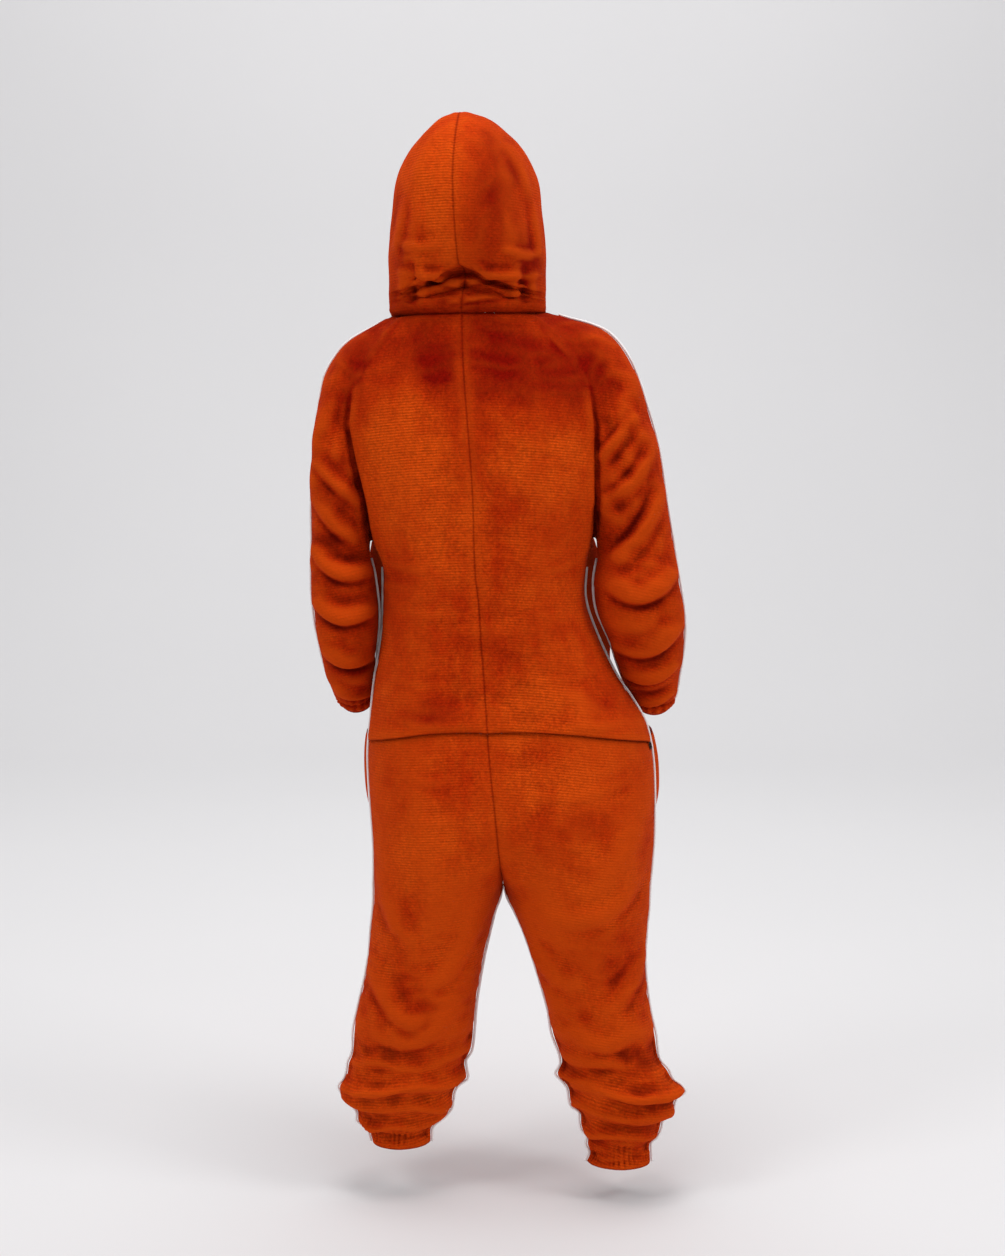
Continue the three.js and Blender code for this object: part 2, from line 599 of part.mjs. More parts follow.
// The height of the stacked rolls at a point of a leg.
function rollHeight(p) {
  let height = 0;
  const side = p.x > BETWEEN_LEGS ? LEFT : RIGHT;
  for (const row of LEG_ROLLS) {
    const f = named(ROLL_COLUMNS, row);
    if (f.side !== side) continue;
    const around = Math.atan2(p.y - 10, p.x - LEG_AXIS[side]);
    const z = f.z + f.tilt * (p.x - LEG_AXIS[side]) * side + f.wave * Math.sin(2 * around + f.z);
    const d = (p.z - z) / f.width;
    height += f.height * (Math.exp(-d * d) - 0.3);
  }
  const grow = smooth(-p.z, -ROLLS_START, -ROLLS_FULL);
  return height * grow * smooth(p.z, HEM_FLAT[side], ROLLS_FADE[side]);
}

refreshNormals();
pool.forEach((v, id) => {
  const { p, n } = v;
  if (p.z > FOLDS_TOP) return;
  const sleeve = onSleeve.has(id);
  const backFolds = sleeve ? SLEEVE_BACK_FOLDS : BODY_BACK_FOLDS;
  const frontFolds = sleeve ? SLEEVE_FRONT_FOLDS : BODY_FRONT_FOLDS;
  const backShare = smooth(n.y, -0.05, 0.45);
  const frontShare = smooth(-n.y, -0.05, 0.45);
  v.rise = backShare * foldHeight(backFolds, p) + frontShare * foldHeight(frontFolds, p);
  if (p.z < ROLLS_START) v.rise += rollHeight(p);
});
for (const v of pool) v.p.addScaledVector(v.n, v.rise);

// The neckline's in-between points stay on the line and take their neighbours' lean.
function settleNeckline() {
  for (const side of [LEFT, RIGHT])
    for (const back of [true, false]) {
      const row = [
        ...indexed[gridKey("torso", side, back)][0],
        ...indexed[gridKey("sleeve", side, back)][0].slice(1),
      ];
      for (let i = 1; i < row.length - 1; i += 2) {
        const [a, m, b] = [pool[row[i - 1]], pool[row[i]], pool[row[i + 1]]];
        m.p.copy(a.p).add(b.p).multiplyScalar(0.5);
        m.n.copy(a.n).add(b.n).multiplyScalar(0.5);
      }
    }
}
refreshNormals();
settleNeckline();

// Closed walls

function geometryOf(points, triangles) {
  const geometry = new THREE.BufferGeometry();
  const numbers = points.flatMap((p) => [p.x, p.y, p.z]);
  geometry.setAttribute("position", new THREE.Float32BufferAttribute(numbers, 3));
  geometry.setIndex(triangles.flat());
  geometry.computeVertexNormals();
  return geometry;
}

// The edges of a set of faces that only one face uses, each with its direction.
function boundaryOf(list) {
  const seen = new Map();
  for (const f of list)
    for (let i = 0; i < 3; i++) {
      const [a, b] = [f[i], f[(i + 1) % 3]];
      const back = `${b},${a}`;
      if (seen.has(back)) seen.delete(back);
      else seen.set(`${a},${b}`, [a, b]);
    }
  return [...seen.values()];
}

// How far an edge is drawn in: a little more along the neckline, and where four panels
// meet under the arms and at the crotch.
const underarm = (table) => {
  const r = named(YOKE_COLUMNS, table[UNDERARM_ROW]);
  return V(r.creaseX, r.creaseBackY, r.creaseZ);
};
const CROTCH = V(...INSEAM_LEFT[0], CROTCH_Z);
const KNOTS = [underarm(YOKE_LEFT), underarm(YOKE_RIGHT), CROTCH];
const KNOT_REACH = 32;
const KNOT_GAP = 0.9;
const KNOT_RISE = 1.2; // the piping bridges the fork there
const NECKLINE = new Set([LEFT, RIGHT].flatMap((side) => {
  const rows = ["torso", "sleeve"].flatMap((part) => [true, false].map((back) => gridKey(part, side, back)));
  return rows.flatMap((key) => indexed[key][0]);
}));
function nearKnot(p) {
  return KNOTS.some((k) => k.distanceTo(p) < KNOT_REACH);
}
function insetAt(id) {
  return NECKLINE.has(id) || nearKnot(pool[id].p) ? KNOT_GAP : SEAM_GAP / 2;
}

// A wall on a set of faces: its outer side lifted by lift(id), its edges drawn in.
function wall(list, thickness, lift = () => 0) {
  const border = boundaryOf(list);
  const inward = new Map();
  for (const [a, b] of border) {
    const along = pool[b].p.clone().sub(pool[a].p).normalize();
    for (const i of [a, b]) {
      const into = pool[i].n.clone().cross(along);
      inward.set(i, (inward.get(i) || V(0, 0, 0)).add(into));
    }
  }
  const used = [...new Set(list.flat())];
  const place = new Map(used.map((id, i) => [id, i]));
  const outer = used.map((id) => {
    const p = pool[id].p.clone();
    if (inward.has(id)) p.addScaledVector(inward.get(id).normalize(), insetAt(id));
    return p.addScaledVector(pool[id].n, lift(id));
  });
  const inner = used.map((id, i) => outer[i].clone().addScaledVector(pool[id].n, -thickness));
  const count = used.length;
  const triangles = [];
  for (const f of list) {
    const [a, b, c] = f.map((id) => place.get(id));
    triangles.push([a, b, c], [a + count, c + count, b + count]);
  }
  for (const [p, q] of border) {
    const [a, b] = [place.get(p), place.get(q)];
    if (p < q) triangles.push([a, a + count, b], [b, a + count, b + count]);
    else triangles.push([a, a + count, b + count], [a, b + count, b]);
  }
  return geometryOf([...outer, ...inner], triangles);
}

// Materials

const finish = (color, roughness) => new THREE.MeshStandardMaterial({ color, roughness, metalness: 0 });
const plush = () => finish(0xa5391a, 0.9);
const piping = () => finish(0xf3eeea, 0.6);
const button = () => finish(0x6a2a16, 0.4);
const tape = () => finish(0x5a2012, 0.8);
const metal = () => finish(0x2b1611, 0.35);

const group = new THREE.Group();
function add(key, geometry, material) {
  const mesh = new THREE.Mesh(geometry, material);
  mesh.name = key;
  group.add(mesh);
}

for (const side of [LEFT, RIGHT]) {
  const s = sideName(side);
  const torso = indexed[`torso_back_${s}`];
  const lipLift = new Map();
  torso[torso.length - 1].forEach((id) => lipLift.set(id, LIP));
  torso[torso.length - 2].forEach((id) => lipLift.set(id, LIP * 0.5));
  torso.forEach((row) => lipLift.set(row[row.length - 1], 0));
  add(`upper_back_${s}`, wall([...faces[`torso_back_${s}`], ...faces[`sleeve_back_${s}`]], CLOTH,
    (id) => lipLift.get(id) || 0), plush());
  add(`seat_and_leg_${s}`, wall(faces[`leg_back_${s}`], CLOTH), plush());
  add(`front_${s}`, wall([...faces[`torso_front_${s}`], ...faces[`sleeve_front_${s}`],
    ...faces[`leg_front_${s}`]], CLOTH), plush());
  add(`hood_${s}`, wall(faces[`hood_${s}`], CLOTH), plush());
}
add("hood_front_band", wall(faces.hood_band, CLOTH), plush());

// Pieces that lie on the panels

// A point between columns of a row of points, with its lean.
function sample(row, u) {
  const i = Math.min(Math.floor(u), row.length - 2);
  const [a, b] = [pool[row[i]], pool[row[i + 1]]];
  return { p: a.p.clone().lerp(b.p, u - i), n: a.n.clone().lerp(b.n, u - i).normalize() };
}
function blend(a, b, t) {
  return { p: a.p.clone().lerp(b.p, t), n: a.n.clone().lerp(b.n, t).normalize() };
}
// New points in the pool, each with its own lift, as a closed wall.
function overlay(rows, thickness) {
  const lifts = new Map();
  const table = rows.map((row) => row.map(({ p, n, lift }) => {
    pool.push({ p, n, rise: 0 });
    lifts.set(pool.length - 1, lift);
    return pool.length - 1;
  }));
  const middle = table[Math.floor(table.length / 2)];
  const hint = pool[middle[Math.floor(middle.length / 2)]].n;
  return wall(facesOf(table, () => hint), thickness, (id) => lifts.get(id));
}

const frontRows = {};
for (const side of [LEFT, RIGHT]) {
  const s = sideName(side);
  frontRows[side] = [...indexed[`torso_front_${s}`], ...indexed[`leg_front_${s}`].slice(1)];
}

// The button placket down the centre front.
const lifted = (spot, lift) => ({ ...spot, lift });
const onTop = ON_CLOTH + CLOTH;
const placketRows = frontRows[LEFT].map((row, i) => [row, frontRows[RIGHT][i]])
  .filter(([row]) => pool[row[0]].p.z > PLACKET_END)
  .map(([left, right]) => [
    lifted(sample(left, PLACKET_WIDTH), onTop),
    lifted(sample(left, 0), onTop),
    lifted(sample(right, PLACKET_WIDTH), onTop),
  ]);
add("front_placket", overlay(placketRows, CLOTH), plush());

BUTTON.heights.forEach((z, i) => {
  const k = placketRows.findIndex((row) => row[1].p.z < z);
  const [above, below] = [placketRows[k - 1][1], placketRows[k][1]];
  const spot = blend(above, below, (above.p.z - z) / (above.p.z - below.p.z));
  const geometry = new THREE.CylinderGeometry(BUTTON.radius, BUTTON.radius, BUTTON.height, BUTTON.sides);
  geometry.deleteAttribute("uv");
  const mesh = new THREE.Mesh(geometry, button());
  mesh.name = `button_${i + 1}`;
  mesh.quaternion.setFromUnitVectors(V(0, 1, 0), spot.n);
  mesh.position.copy(spot.p).addScaledVector(spot.n, onTop + ON_CLOTH + BUTTON.height / 2);
  group.add(mesh);
});

// Patch pockets, pushed out by the room for a hand and open at the mouth.
for (const side of [LEFT, RIGHT]) {
  const rows = frontRows[side].filter((row) => {
    const { z } = pool[row[POCKET.column]].p;
    return z < POCKET.mouth && z > POCKET.foot;
  });
  const pocketRows = rows.map((row, r) => {
    const t = r / (rows.length - 1);
    const depth = (0.72 + 0.5 * t) * Math.sqrt(Math.max(0, 1 - t ** 2.2));
    return Array.from({ length: POCKET.columns + 1 }, (_, k) => {
      const across = Math.sin((Math.PI * k) / POCKET.columns) ** 0.75;
      const spot = sample(row, mix(POCKET.inner, POCKET.outer, k / POCKET.columns));
      return lifted(spot, onTop + POCKET_BULGE[side] * across * depth + POCKET.footRise * t ** 4);
    });
  });
  add(`pocket_${sideName(side)}`, overlay(pocketRows, CLOTH), plush());
}

// The tape of the seat zip, under the lip of the upper back, and its slider.
const waistSpots = (side, last) => {
  const s = sideName(side);
  const upper = indexed[`torso_back_${s}`];
  const lower = indexed[`leg_back_${s}`];
  const steps = Math.round(last);
  return Array.from({ length: steps + 1 }, (_, k) => {
    const u = (last * k) / steps;
    const seam = sample(lower[0], u);
    return [
      blend(seam, sample(upper[upper.length - 2], u), TAPE.reach),
      seam,
      blend(seam, sample(lower[1], u), TAPE.reach),
    ];
  });
};
const tapeRows = [
  ...waistSpots(LEFT, TAPE.left).reverse(),
  ...waistSpots(RIGHT, TAPE.right).slice(1),
].map((column) => column.map((spot) => lifted(spot, -CLOTH - ON_CLOTH)));
add("seat_zip_tape", overlay(tapeRows, TAPE.cloth), tape());

function addSlider() {
  const lower = indexed.leg_back_right;
  const spot = blend(sample(lower[0], TAPE.right), sample(lower[1], TAPE.right), SLIDER.below);
  const geometry = new THREE.BoxGeometry(SLIDER.length, SLIDER.height, SLIDER.width);
  geometry.deleteAttribute("uv");
  const mesh = new THREE.Mesh(geometry, metal());
  mesh.name = "seat_zip_slider";
  mesh.quaternion.setFromUnitVectors(V(0, 1, 0), spot.n);
  mesh.position.copy(spot.p).addScaledVector(spot.n, SLIDER.off + SLIDER.height / 2);
  group.add(mesh);
}
addSlider();

// White piping along a seam: a three-sided cord whose foot rests in the seam.
function cord(path) {
  const points = [];
  const triangles = [];
  path.forEach((id, i) => {
    const before = pool[path[Math.max(i - 1, 0)]].p;
    const after = pool[path[Math.min(i + 1, path.length - 1)]].p;
    const along = after.clone().sub(before).normalize();
    const { p, n } = pool[id];
    const aside = along.clone().cross(n).normalize().multiplyScalar(PIPING / 2);
    const foot = SEAM_GAP + (nearKnot(p) ? KNOT_RISE : 0);
    const top = p.clone().addScaledVector(n, foot + PIPING_RISE);
    points.push(p.clone().addScaledVector(n, foot), top.clone().add(aside), top.clone().sub(aside));
    if (!i) return;
    for (let k = 0; k < 3; k++) {
      const [a, b] = [3 * (i - 1) + k, 3 * (i - 1) + ((k + 1) % 3)];
      triangles.push([a, b + 3, b], [a, a + 3, b + 3]);
    }
  });
  const last = points.length - 3;
  triangles.push([0, 1, 2], [last, last + 2, last + 1]);
  return geometryOf(points, triangles);
}
const lastOf = (rows) => rows.map((row) => row[row.length - 1]);
const firstOf = (rows) => rows.map((row) => row[0]);
for (const side of [LEFT, RIGHT]) {
  const s = sideName(side);
  const sleeve = indexed[`sleeve_back_${s}`];
  const below = sleeve.slice(YOKE_PLACES.length);
  const body = indexed[`torso_back_${s}`].slice(YOKE_PLACES.length);
  const leg = indexed[`leg_back_${s}`].slice(1);
  add(`overarm_piping_${s}`, cord(lastOf(sleeve).slice(1)), piping());
  add(`underarm_piping_${s}`, cord(firstOf(below)), piping());
  add(`side_piping_${s}`, cord([...lastOf(body), ...lastOf(leg)]), piping());
}
const inseam = (side) => firstOf(indexed[`leg_back_${sideName(side)}`])
  .filter((id) => pool[id].p.z <= CROTCH_Z + 1);
add("inseam_piping", cord([...inseam(LEFT).reverse(), ...inseam(RIGHT).slice(1)]), piping());
add("hood_piping", cord(firstOf(indexed.hood_band)), piping());

export default group;
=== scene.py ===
"""Dresses the hooded plush onesie: panels with folds and nap, piping, buttons, pockets, seat zip.

The row frame has +Z up, the front faces -Y and the wearer's left is +X. Tables are in
millimetres, and everything that Blender receives is in metres.
"""
import logging
import math
from dataclasses import dataclass
from enum import Enum

import bmesh
import bpy
import numpy as np
from mathutils import Matrix, Vector, kdtree, noise


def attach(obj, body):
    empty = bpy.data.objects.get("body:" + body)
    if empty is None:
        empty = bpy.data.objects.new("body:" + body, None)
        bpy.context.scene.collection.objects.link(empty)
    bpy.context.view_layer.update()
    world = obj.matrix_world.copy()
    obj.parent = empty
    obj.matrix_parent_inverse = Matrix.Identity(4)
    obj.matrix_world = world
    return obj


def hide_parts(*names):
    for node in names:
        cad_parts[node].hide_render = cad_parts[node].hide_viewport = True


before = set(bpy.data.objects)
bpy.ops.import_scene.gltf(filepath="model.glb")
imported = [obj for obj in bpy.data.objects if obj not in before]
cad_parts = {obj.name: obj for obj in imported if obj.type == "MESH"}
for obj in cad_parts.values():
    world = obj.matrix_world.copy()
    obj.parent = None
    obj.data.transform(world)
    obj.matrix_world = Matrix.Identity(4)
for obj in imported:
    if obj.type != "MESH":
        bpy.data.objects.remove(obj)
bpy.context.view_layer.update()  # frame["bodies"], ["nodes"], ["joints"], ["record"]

logging.basicConfig(level=logging.INFO, format="%(message)s")
log = logging.getLogger("onesie")

MM = 0.001
CLOTH = 2.4  # thickness of the plush
HEAD_CENTRE = np.array([0.0, 0.0, 110.0])
NECK_LOW = -90.0  # the neckline lies above this
NECK_LOOP = 135.0  # and within this of the neck's middle
WELD = 1e-5  # points nearer than this, in metres, are one
RIM_SLACK = 0.006  # how far the wall's edge may be off its thickness
NECK_RIM_SLACK = 0.8  # and where neighbours share a wider neckline
QUAD_ANGLE = 1.2  # two triangles that meet flatter than this, in radians, make a quad
FIT_SHARE = 0.85  # of what rounding takes away from a point, given back in each round


class Facing(Enum):
    """The way a panel's outer side looks."""

    BACK = "back"
    FRONT = "front"
    HEAD = "head"


# Small tools


def smooth(x: np.ndarray, low: float, high: float) -> np.ndarray:
    """Returns 0 below low and 1 above high, with a soft step between.

    Args:
        x: the values.
        low: where the step begins.
        high: where it ends; it may be less than low.

    Returns:
        The stepped values.
    """
    t = np.clip((x - low) / (high - low), 0.0, 1.0)
    return t * t * (3.0 - 2.0 * t)


def noise_at(points: np.ndarray, scale: tuple[float, float, float], seed: float) -> np.ndarray:
    """Samples smooth noise at points.

    Args:
        points: n by 3, in millimetres.
        scale: the size of a blotch along each axis, in millimetres.
        seed: moves the pattern.

    Returns:
        n values between about -1 and 1.
    """
    scaled = points / np.array(scale) + seed
    return np.array([noise.noise(Vector(p)) for p in scaled.tolist()])


def new_object(name: str, points: np.ndarray, faces: list,
               smooth_shading: bool = True) -> bpy.types.Object:
    """Makes a mesh object.

    Args:
        name: its name.
        points: n by 3, in millimetres.
        faces: tuples of point indices, facing out.
        smooth_shading: False leaves the faces flat.

    Returns:
        The object, linked to the scene.
    """
    mesh = bpy.data.meshes.new(name)
    mesh.from_pydata((np.asarray(points) * MM).tolist(), [], [tuple(f) for f in faces])
    mesh.validate()
    if smooth_shading:
        mesh.shade_smooth()
    thing = bpy.data.objects.new(name, mesh)
    bpy.context.scene.collection.objects.link(thing)
    return thing


def vertex_normals(mesh: bpy.types.Mesh) -> np.ndarray:
    """Reads the mesh's vertex normals.

    Args:
        mesh: any mesh.

    Returns:
        n by 3 unit vectors.
    """
    flat = np.empty(len(mesh.vertices) * 3)
    mesh.vertex_normals.foreach_get("vector", flat)
    return flat.reshape(-1, 3)


def vertex_points(mesh: bpy.types.Mesh) -> np.ndarray:
    """Reads the mesh's points.

    Args:
        mesh: any mesh.

    Returns:
        n by 3, in millimetres.
    """
    flat = np.empty(len(mesh.vertices) * 3)
    mesh.vertices.foreach_get("co", flat)
    return flat.reshape(-1, 3) / MM


def set_points(mesh: bpy.types.Mesh, points: np.ndarray) -> None:
    """Moves the mesh's points to those given in millimetres."""
    mesh.vertices.foreach_set("co", (points * MM).ravel())
    mesh.update()


def store(mesh: bpy.types.Mesh, name: str, values: np.ndarray) -> None:
    """Keeps one value for each point, for a finish to read."""
    layer = mesh.attributes.new(name, "FLOAT", "POINT")
    layer.data.foreach_set("value", np.asarray(values, dtype=np.float32))


def smooth_path(knots: np.ndarray, step: float) -> np.ndarray:
    """Draws an even, smooth path through knots.

    Args:
        knots: n by 3, in millimetres.
        step: the distance between two points of the path.

    Returns:
        The path's points.
    """
    padded = np.vstack([2 * knots[0] - knots[1], knots, 2 * knots[-1] - knots[-2]])
    fine = []
    for a, b, c, d in zip(padded, padded[1:], padded[2:], padded[3:]):
        for t in np.linspace(0.0, 1.0, 12, endpoint=False):
            fine.append(0.5 * (2 * b + (c - a) * t + (2 * a - 5 * b + 4 * c - d) * t**2
                               + (3 * b - a - 3 * c + d) * t**3))
    fine.append(knots[-1])
    line = np.array(fine)
    lengths = np.concatenate([[0.0], np.cumsum(np.linalg.norm(np.diff(line, axis=0), axis=1))])
    count = max(2, int(lengths[-1] / step) + 1)
    even = np.linspace(0.0, lengths[-1], count)
    return np.column_stack([np.interp(even, lengths, line[:, i]) for i in range(3)])


def ring_faces(rings: int, sides: int) -> list:
    """Closes a stack of rings to a solid.

    Args:
        rings: how many there are, from the bottom up.
        sides: the points in each.

    Returns:
        The faces between the rings, then the lower and the upper end.
    """
    faces = []
    for i in range(rings - 1):
        for k in range(sides):
            a, b = i * sides + k, i * sides + (k + 1) % sides
            faces.append((a, b, b + sides, a + sides))
    last = (rings - 1) * sides
    faces.append(tuple(range(sides))[::-1])
    faces.append(tuple(last + k for k in range(sides)))
    return faces


def stand(mesh: bpy.types.Mesh, middle: np.ndarray, axis: np.ndarray) -> None:
    """Turns a mesh's own Z to an axis and moves it to its place.

    Args:
        mesh: built about the origin, in metres.
        middle: its place, in millimetres.
        axis: the direction that its Z takes.
    """
    turn = Vector((0, 0, 1)).rotation_difference(Vector(axis)).to_matrix().to_4x4()
    mesh.transform(turn)
    mesh.transform(Matrix.Translation(Vector(middle) * MM))


def thin_axis(points: np.ndarray, facing: float) -> np.ndarray:
    """Finds the direction in which a flat solid is thinnest.

    Args:
        points: n by 3.
        facing: 1 where it looks back, along +Y, and -1 where it looks to the front.

    Returns:
        A unit vector.
    """
    _, _, spread = np.linalg.svd(points - points.mean(axis=0), full_matrices=False)
    return spread[2] if spread[2][1] * facing > 0 else -spread[2]


def tube(path: np.ndarray, radius: float, sides: int) -> tuple[np.ndarray, list]:
    """Sweeps a round section along a path.

    Args:
        path: the centreline, in millimetres.
        radius: of the section.
        sides: of the section.

    Returns:
        The points and the faces, closed at both ends.
    """
    along = np.gradient(path, axis=0)
    along /= np.linalg.norm(along, axis=1, keepdims=True)
    reference = np.array([0.0, 1.0, 0.0])
    points: list = []
    for centre, direction in zip(path, along):
        reference = reference - direction * reference.dot(direction)
        reference /= np.linalg.norm(reference)
        other = np.cross(direction, reference)
        for k in range(sides):
            angle = 2 * math.pi * k / sides
            points.append(centre + radius * (math.cos(angle) * reference + math.sin(angle) * other))
    return np.array(points), ring_faces(len(path), sides)


# Finishes


class Shader:
    """A small builder of node materials."""

    def __init__(self, name: str) -> None:
        """Starts a material with one shader and its output.

        Args:
            name: the material's name.
        """
        self.material = bpy.data.materials.new(name)
        self.material.use_nodes = True
        self.tree = self.material.node_tree
        self.surface = self.tree.nodes["Principled BSDF"]

    def node(self, kind: str, **settings: object) -> bpy.types.Node:
        """Adds a node and sets its properties.

        Args:
            kind: its type.
            settings: its properties, by name.

        Returns:
            The node.
        """
        made = self.tree.nodes.new(kind)
        for key, value in settings.items():
            setattr(made, key, value)
        return made

    def link(self, source: bpy.types.NodeSocket, target: bpy.types.NodeSocket) -> None:
        """Joins two sockets."""
        self.tree.links.new(source, target)

    def attribute(self, name: str) -> bpy.types.NodeSocket:
        """Reads a value that the mesh keeps."""
        return self.node("ShaderNodeAttribute", attribute_name=name).outputs["Fac"]

    def math(self, operation: str, a: object, b: object = None,
             clamp: bool = False) -> bpy.types.NodeSocket:
        """Adds a sum of two values, each a socket or a number.

        Args:
            operation: its name in Blender.
            a: the first value.
            b: the second, or None.
            clamp: keeps the result from 0 to 1.

        Returns:
            The result.
        """
        made = self.node("ShaderNodeMath", operation=operation, use_clamp=clamp)
        for socket, value in zip(made.inputs, (a, b)):
            if isinstance(value, bpy.types.NodeSocket):
                self.link(value, socket)
            elif value is not None:
                socket.default_value = value
        return made.outputs[0]

    def noise(self, scale: float, detail: float = 2.0, rough: float = 0.5,
              stretch: tuple = (1, 1, 1)) -> bpy.types.NodeSocket:
        """Adds noise in the object's own space, about 0.5 in the middle.

        Args:
            scale: blotches to a metre.
            detail: layers of finer noise.
            rough: the strength of those layers.
            stretch: the scale along each axis.

        Returns:
            The noise.
        """
        place = self.node("ShaderNodeTexCoord").outputs["Object"]
        mapping = self.node("ShaderNodeMapping")
        mapping.inputs["Scale"].default_value = stretch
        self.link(place, mapping.inputs["Vector"])
        made = self.node("ShaderNodeTexNoise")
        made.inputs["Scale"].default_value = scale
        made.inputs["Detail"].default_value = detail
        made.inputs["Roughness"].default_value = rough
        self.link(mapping.outputs[0], made.inputs["Vector"])
        return made.outputs["Fac"]

    def ramp(self, value: bpy.types.NodeSocket, stops: list) -> bpy.types.NodeSocket:
        """Turns a value into a colour by stops of (place, colour).

        Args:
            value: from 0 to 1.
            stops: in the order of their places.

        Returns:
            The colour.
        """
        made = self.node("ShaderNodeValToRGB")
        elements = made.color_ramp.elements
        while len(elements) < len(stops):
            elements.new(0.5)
        for element, (place, color) in zip(elements, stops):
            element.position = place
            element.color = (*color, 1.0)
        self.link(value, made.inputs["Fac"])
        return made.outputs["Color"]

    def tint(self, mode: str, amount: object, a: object, b: object) -> bpy.types.NodeSocket:
        """Mixes two colours, each a socket or numbers.

        Args:
            mode: how they mix.
            amount: the share of the second.
            a: the first colour.
            b: the second colour.

        Returns:
            The mix.
        """
        made = self.node("ShaderNodeMix", data_type="RGBA", blend_type=mode)
        for key, value in ((0, amount), (6, a), (7, b)):
            if isinstance(value, bpy.types.NodeSocket):
                self.link(value, made.inputs[key])
            elif key == 0:
                made.inputs[key].default_value = value
            else:
                made.inputs[key].default_value = (*value, 1.0)
        return made.outputs[2]

    def bump(self, height: bpy.types.NodeSocket, distance: float, strength: float = 1.0,
             before: bpy.types.NodeSocket = None) -> bpy.types.NodeSocket:
        """Adds a bump of the given depth in metres.

        Args:
            height: the height map.
            distance: the depth of its full range.
            strength: its share.
            before: a normal that it adds to.

        Returns:
            The normal.
        """
        made = self.node("ShaderNodeBump")
        made.inputs["Distance"].default_value = distance
        made.inputs["Strength"].default_value = strength
        self.link(height, made.inputs["Height"])
        if before is not None:
            self.link(before, made.inputs["Normal"])
        return made.outputs[0]

    def finish(self, color: bpy.types.NodeSocket, rough: object, normal: bpy.types.NodeSocket,
               **constants: object) -> bpy.types.Material:
        """Joins the results to the shader and sets its constants.

        Args:
            color: the base colour.
            rough: the roughness, a socket or a number.
            normal: the bumped normal.
            constants: other inputs by name, with _ for a space.

        Returns:
            The material.
        """
        self.link(color, self.surface.inputs["Base Color"])
        if isinstance(rough, bpy.types.NodeSocket):
            self.link(rough, self.surface.inputs["Roughness"])
        else:
            self.surface.inputs["Roughness"].default_value = rough
        self.link(normal, self.surface.inputs["Normal"])
        for key, value in constants.items():
            self.surface.inputs[key.replace("_", " ")].default_value = value
        return self.material


@dataclass(frozen=True)
class PlushFinish:
    """Velour with a brushed pile: crimson where it lies down, orange where it stands, with
    painted shade in its folds and along its seams and a painted highlight on its crests.

    The grain is darkest at its first number and gains its second; the painted seam shade
    reaches its first number, in millimetres, with its second as its share.
    """

    brushed: tuple = (0.225, 0.0035, 0.0005)
    middle: tuple = (0.44, 0.026, 0.0012)
    # the orange of standing pile, also painted on fold crests as a highlight
    standing_and_crest_highlight: tuple = (0.61, 0.064, 0.0032)
    # the tone of the painted shade in folds and along seams
    painted_shade_tone: tuple = (0.30, 0.14, 0.12)
    course_pitch: float = 4.4
    course_share: float = 0.42
    blotch_share: float = 0.44
    brush_share: float = 0.55
    grain: tuple = (0.15, 1.7)
    # the reach in millimetres and the share of the painted shade along seams
    painted_seam_shade: tuple = (2.4, 0.75)
    pile: float = 0.0009

    def material(self) -> bpy.types.Material:
        """Builds the plush material.

        Returns:
            The material.
        """
        s = Shader("plush")
        nap = s.attribute("nap")
        ridge = s.attribute("ridge")
        course = s.attribute("course")
        blotch = s.noise(12.0, 5.0, 0.62)
        brush = s.noise(46.0, 4.0, 0.7, (1.0, 1.0, 0.6))
        fibre = s.noise(620.0, 2.0, 0.6)
        tuft = s.noise(210.0, 4.0, 0.75)
        lie = s.math("ADD", nap, s.math("MULTIPLY", s.math("SUBTRACT", blotch, 0.5), self.blotch_share))
        brushed = s.math("MULTIPLY", s.math("SUBTRACT", brush, 0.5), self.brush_share)
        lie = s.math("ADD", lie, brushed, clamp=True)
        color = s.ramp(lie, [(0.12, self.standing_and_crest_highlight), (0.45, self.middle), (0.85, self.brushed)])
        phase = s.math("MULTIPLY", course, 2 * math.pi / self.course_pitch)
        wander = s.math("MULTIPLY", s.noise(60.0, 2.0), 2.2)
        rib = s.math("SINE", s.math("ADD", phase, wander))
        shown = s.math("SUBTRACT", 1.0, lie, clamp=True)
        broken = s.math("MULTIPLY", shown, s.noise(150.0, 2.0, 0.7, (0.35, 0.35, 1.0)))
        stripe = s.math("MULTIPLY", rib, broken)
        lined = s.math("ADD", 1.0, s.math("MULTIPLY", stripe, self.course_share))
        grain = s.math("ADD", self.grain[0], s.math("MULTIPLY", tuft, self.grain[1]))
        shade = s.math("MULTIPLY", lined, grain)
        tone = s.node("ShaderNodeCombineColor")
        for channel in ("Red", "Green", "Blue"):
            s.link(shade, tone.inputs[channel])
        color = s.tint("MULTIPLY", 1.0, color, tone.outputs[0])
        # painted shade deep in folds and a painted highlight on crests, from the fold measure that the
        # mesh keeps
        painted_fold_shade = s.math("MULTIPLY", ridge, -1.0, clamp=True)
        painted_crest_highlight = s.math("MULTIPLY", ridge, 0.8, clamp=True)
        color = s.tint("MULTIPLY", painted_fold_shade, color, self.painted_shade_tone)
        color = s.tint("MIX", painted_crest_highlight, color, self.standing_and_crest_highlight)
        # painted shade along each panel's edge, at the seams
        away = s.math("DIVIDE", s.attribute("seam"), self.painted_seam_shade[0])
        painted_seam_shade = s.math("MULTIPLY", s.math("SUBTRACT", 1.0, away, clamp=True), self.painted_seam_shade[1])
        color = s.tint("MULTIPLY", painted_seam_shade, color, self.painted_shade_tone)
        height = s.math("ADD", s.math("MULTIPLY", fibre, 0.6), s.math("MULTIPLY", tuft, 1.0))
        normal = s.bump(height, self.pile)
        normal = s.bump(stripe, 0.0007, 0.8, normal)
        return s.finish(color, 0.92, normal, Sheen_Weight=0.35, Sheen_Roughness=0.4,
                        Sheen_Tint=(1.0, 0.10, 0.01, 1.0), Specular_IOR_Level=0.03)


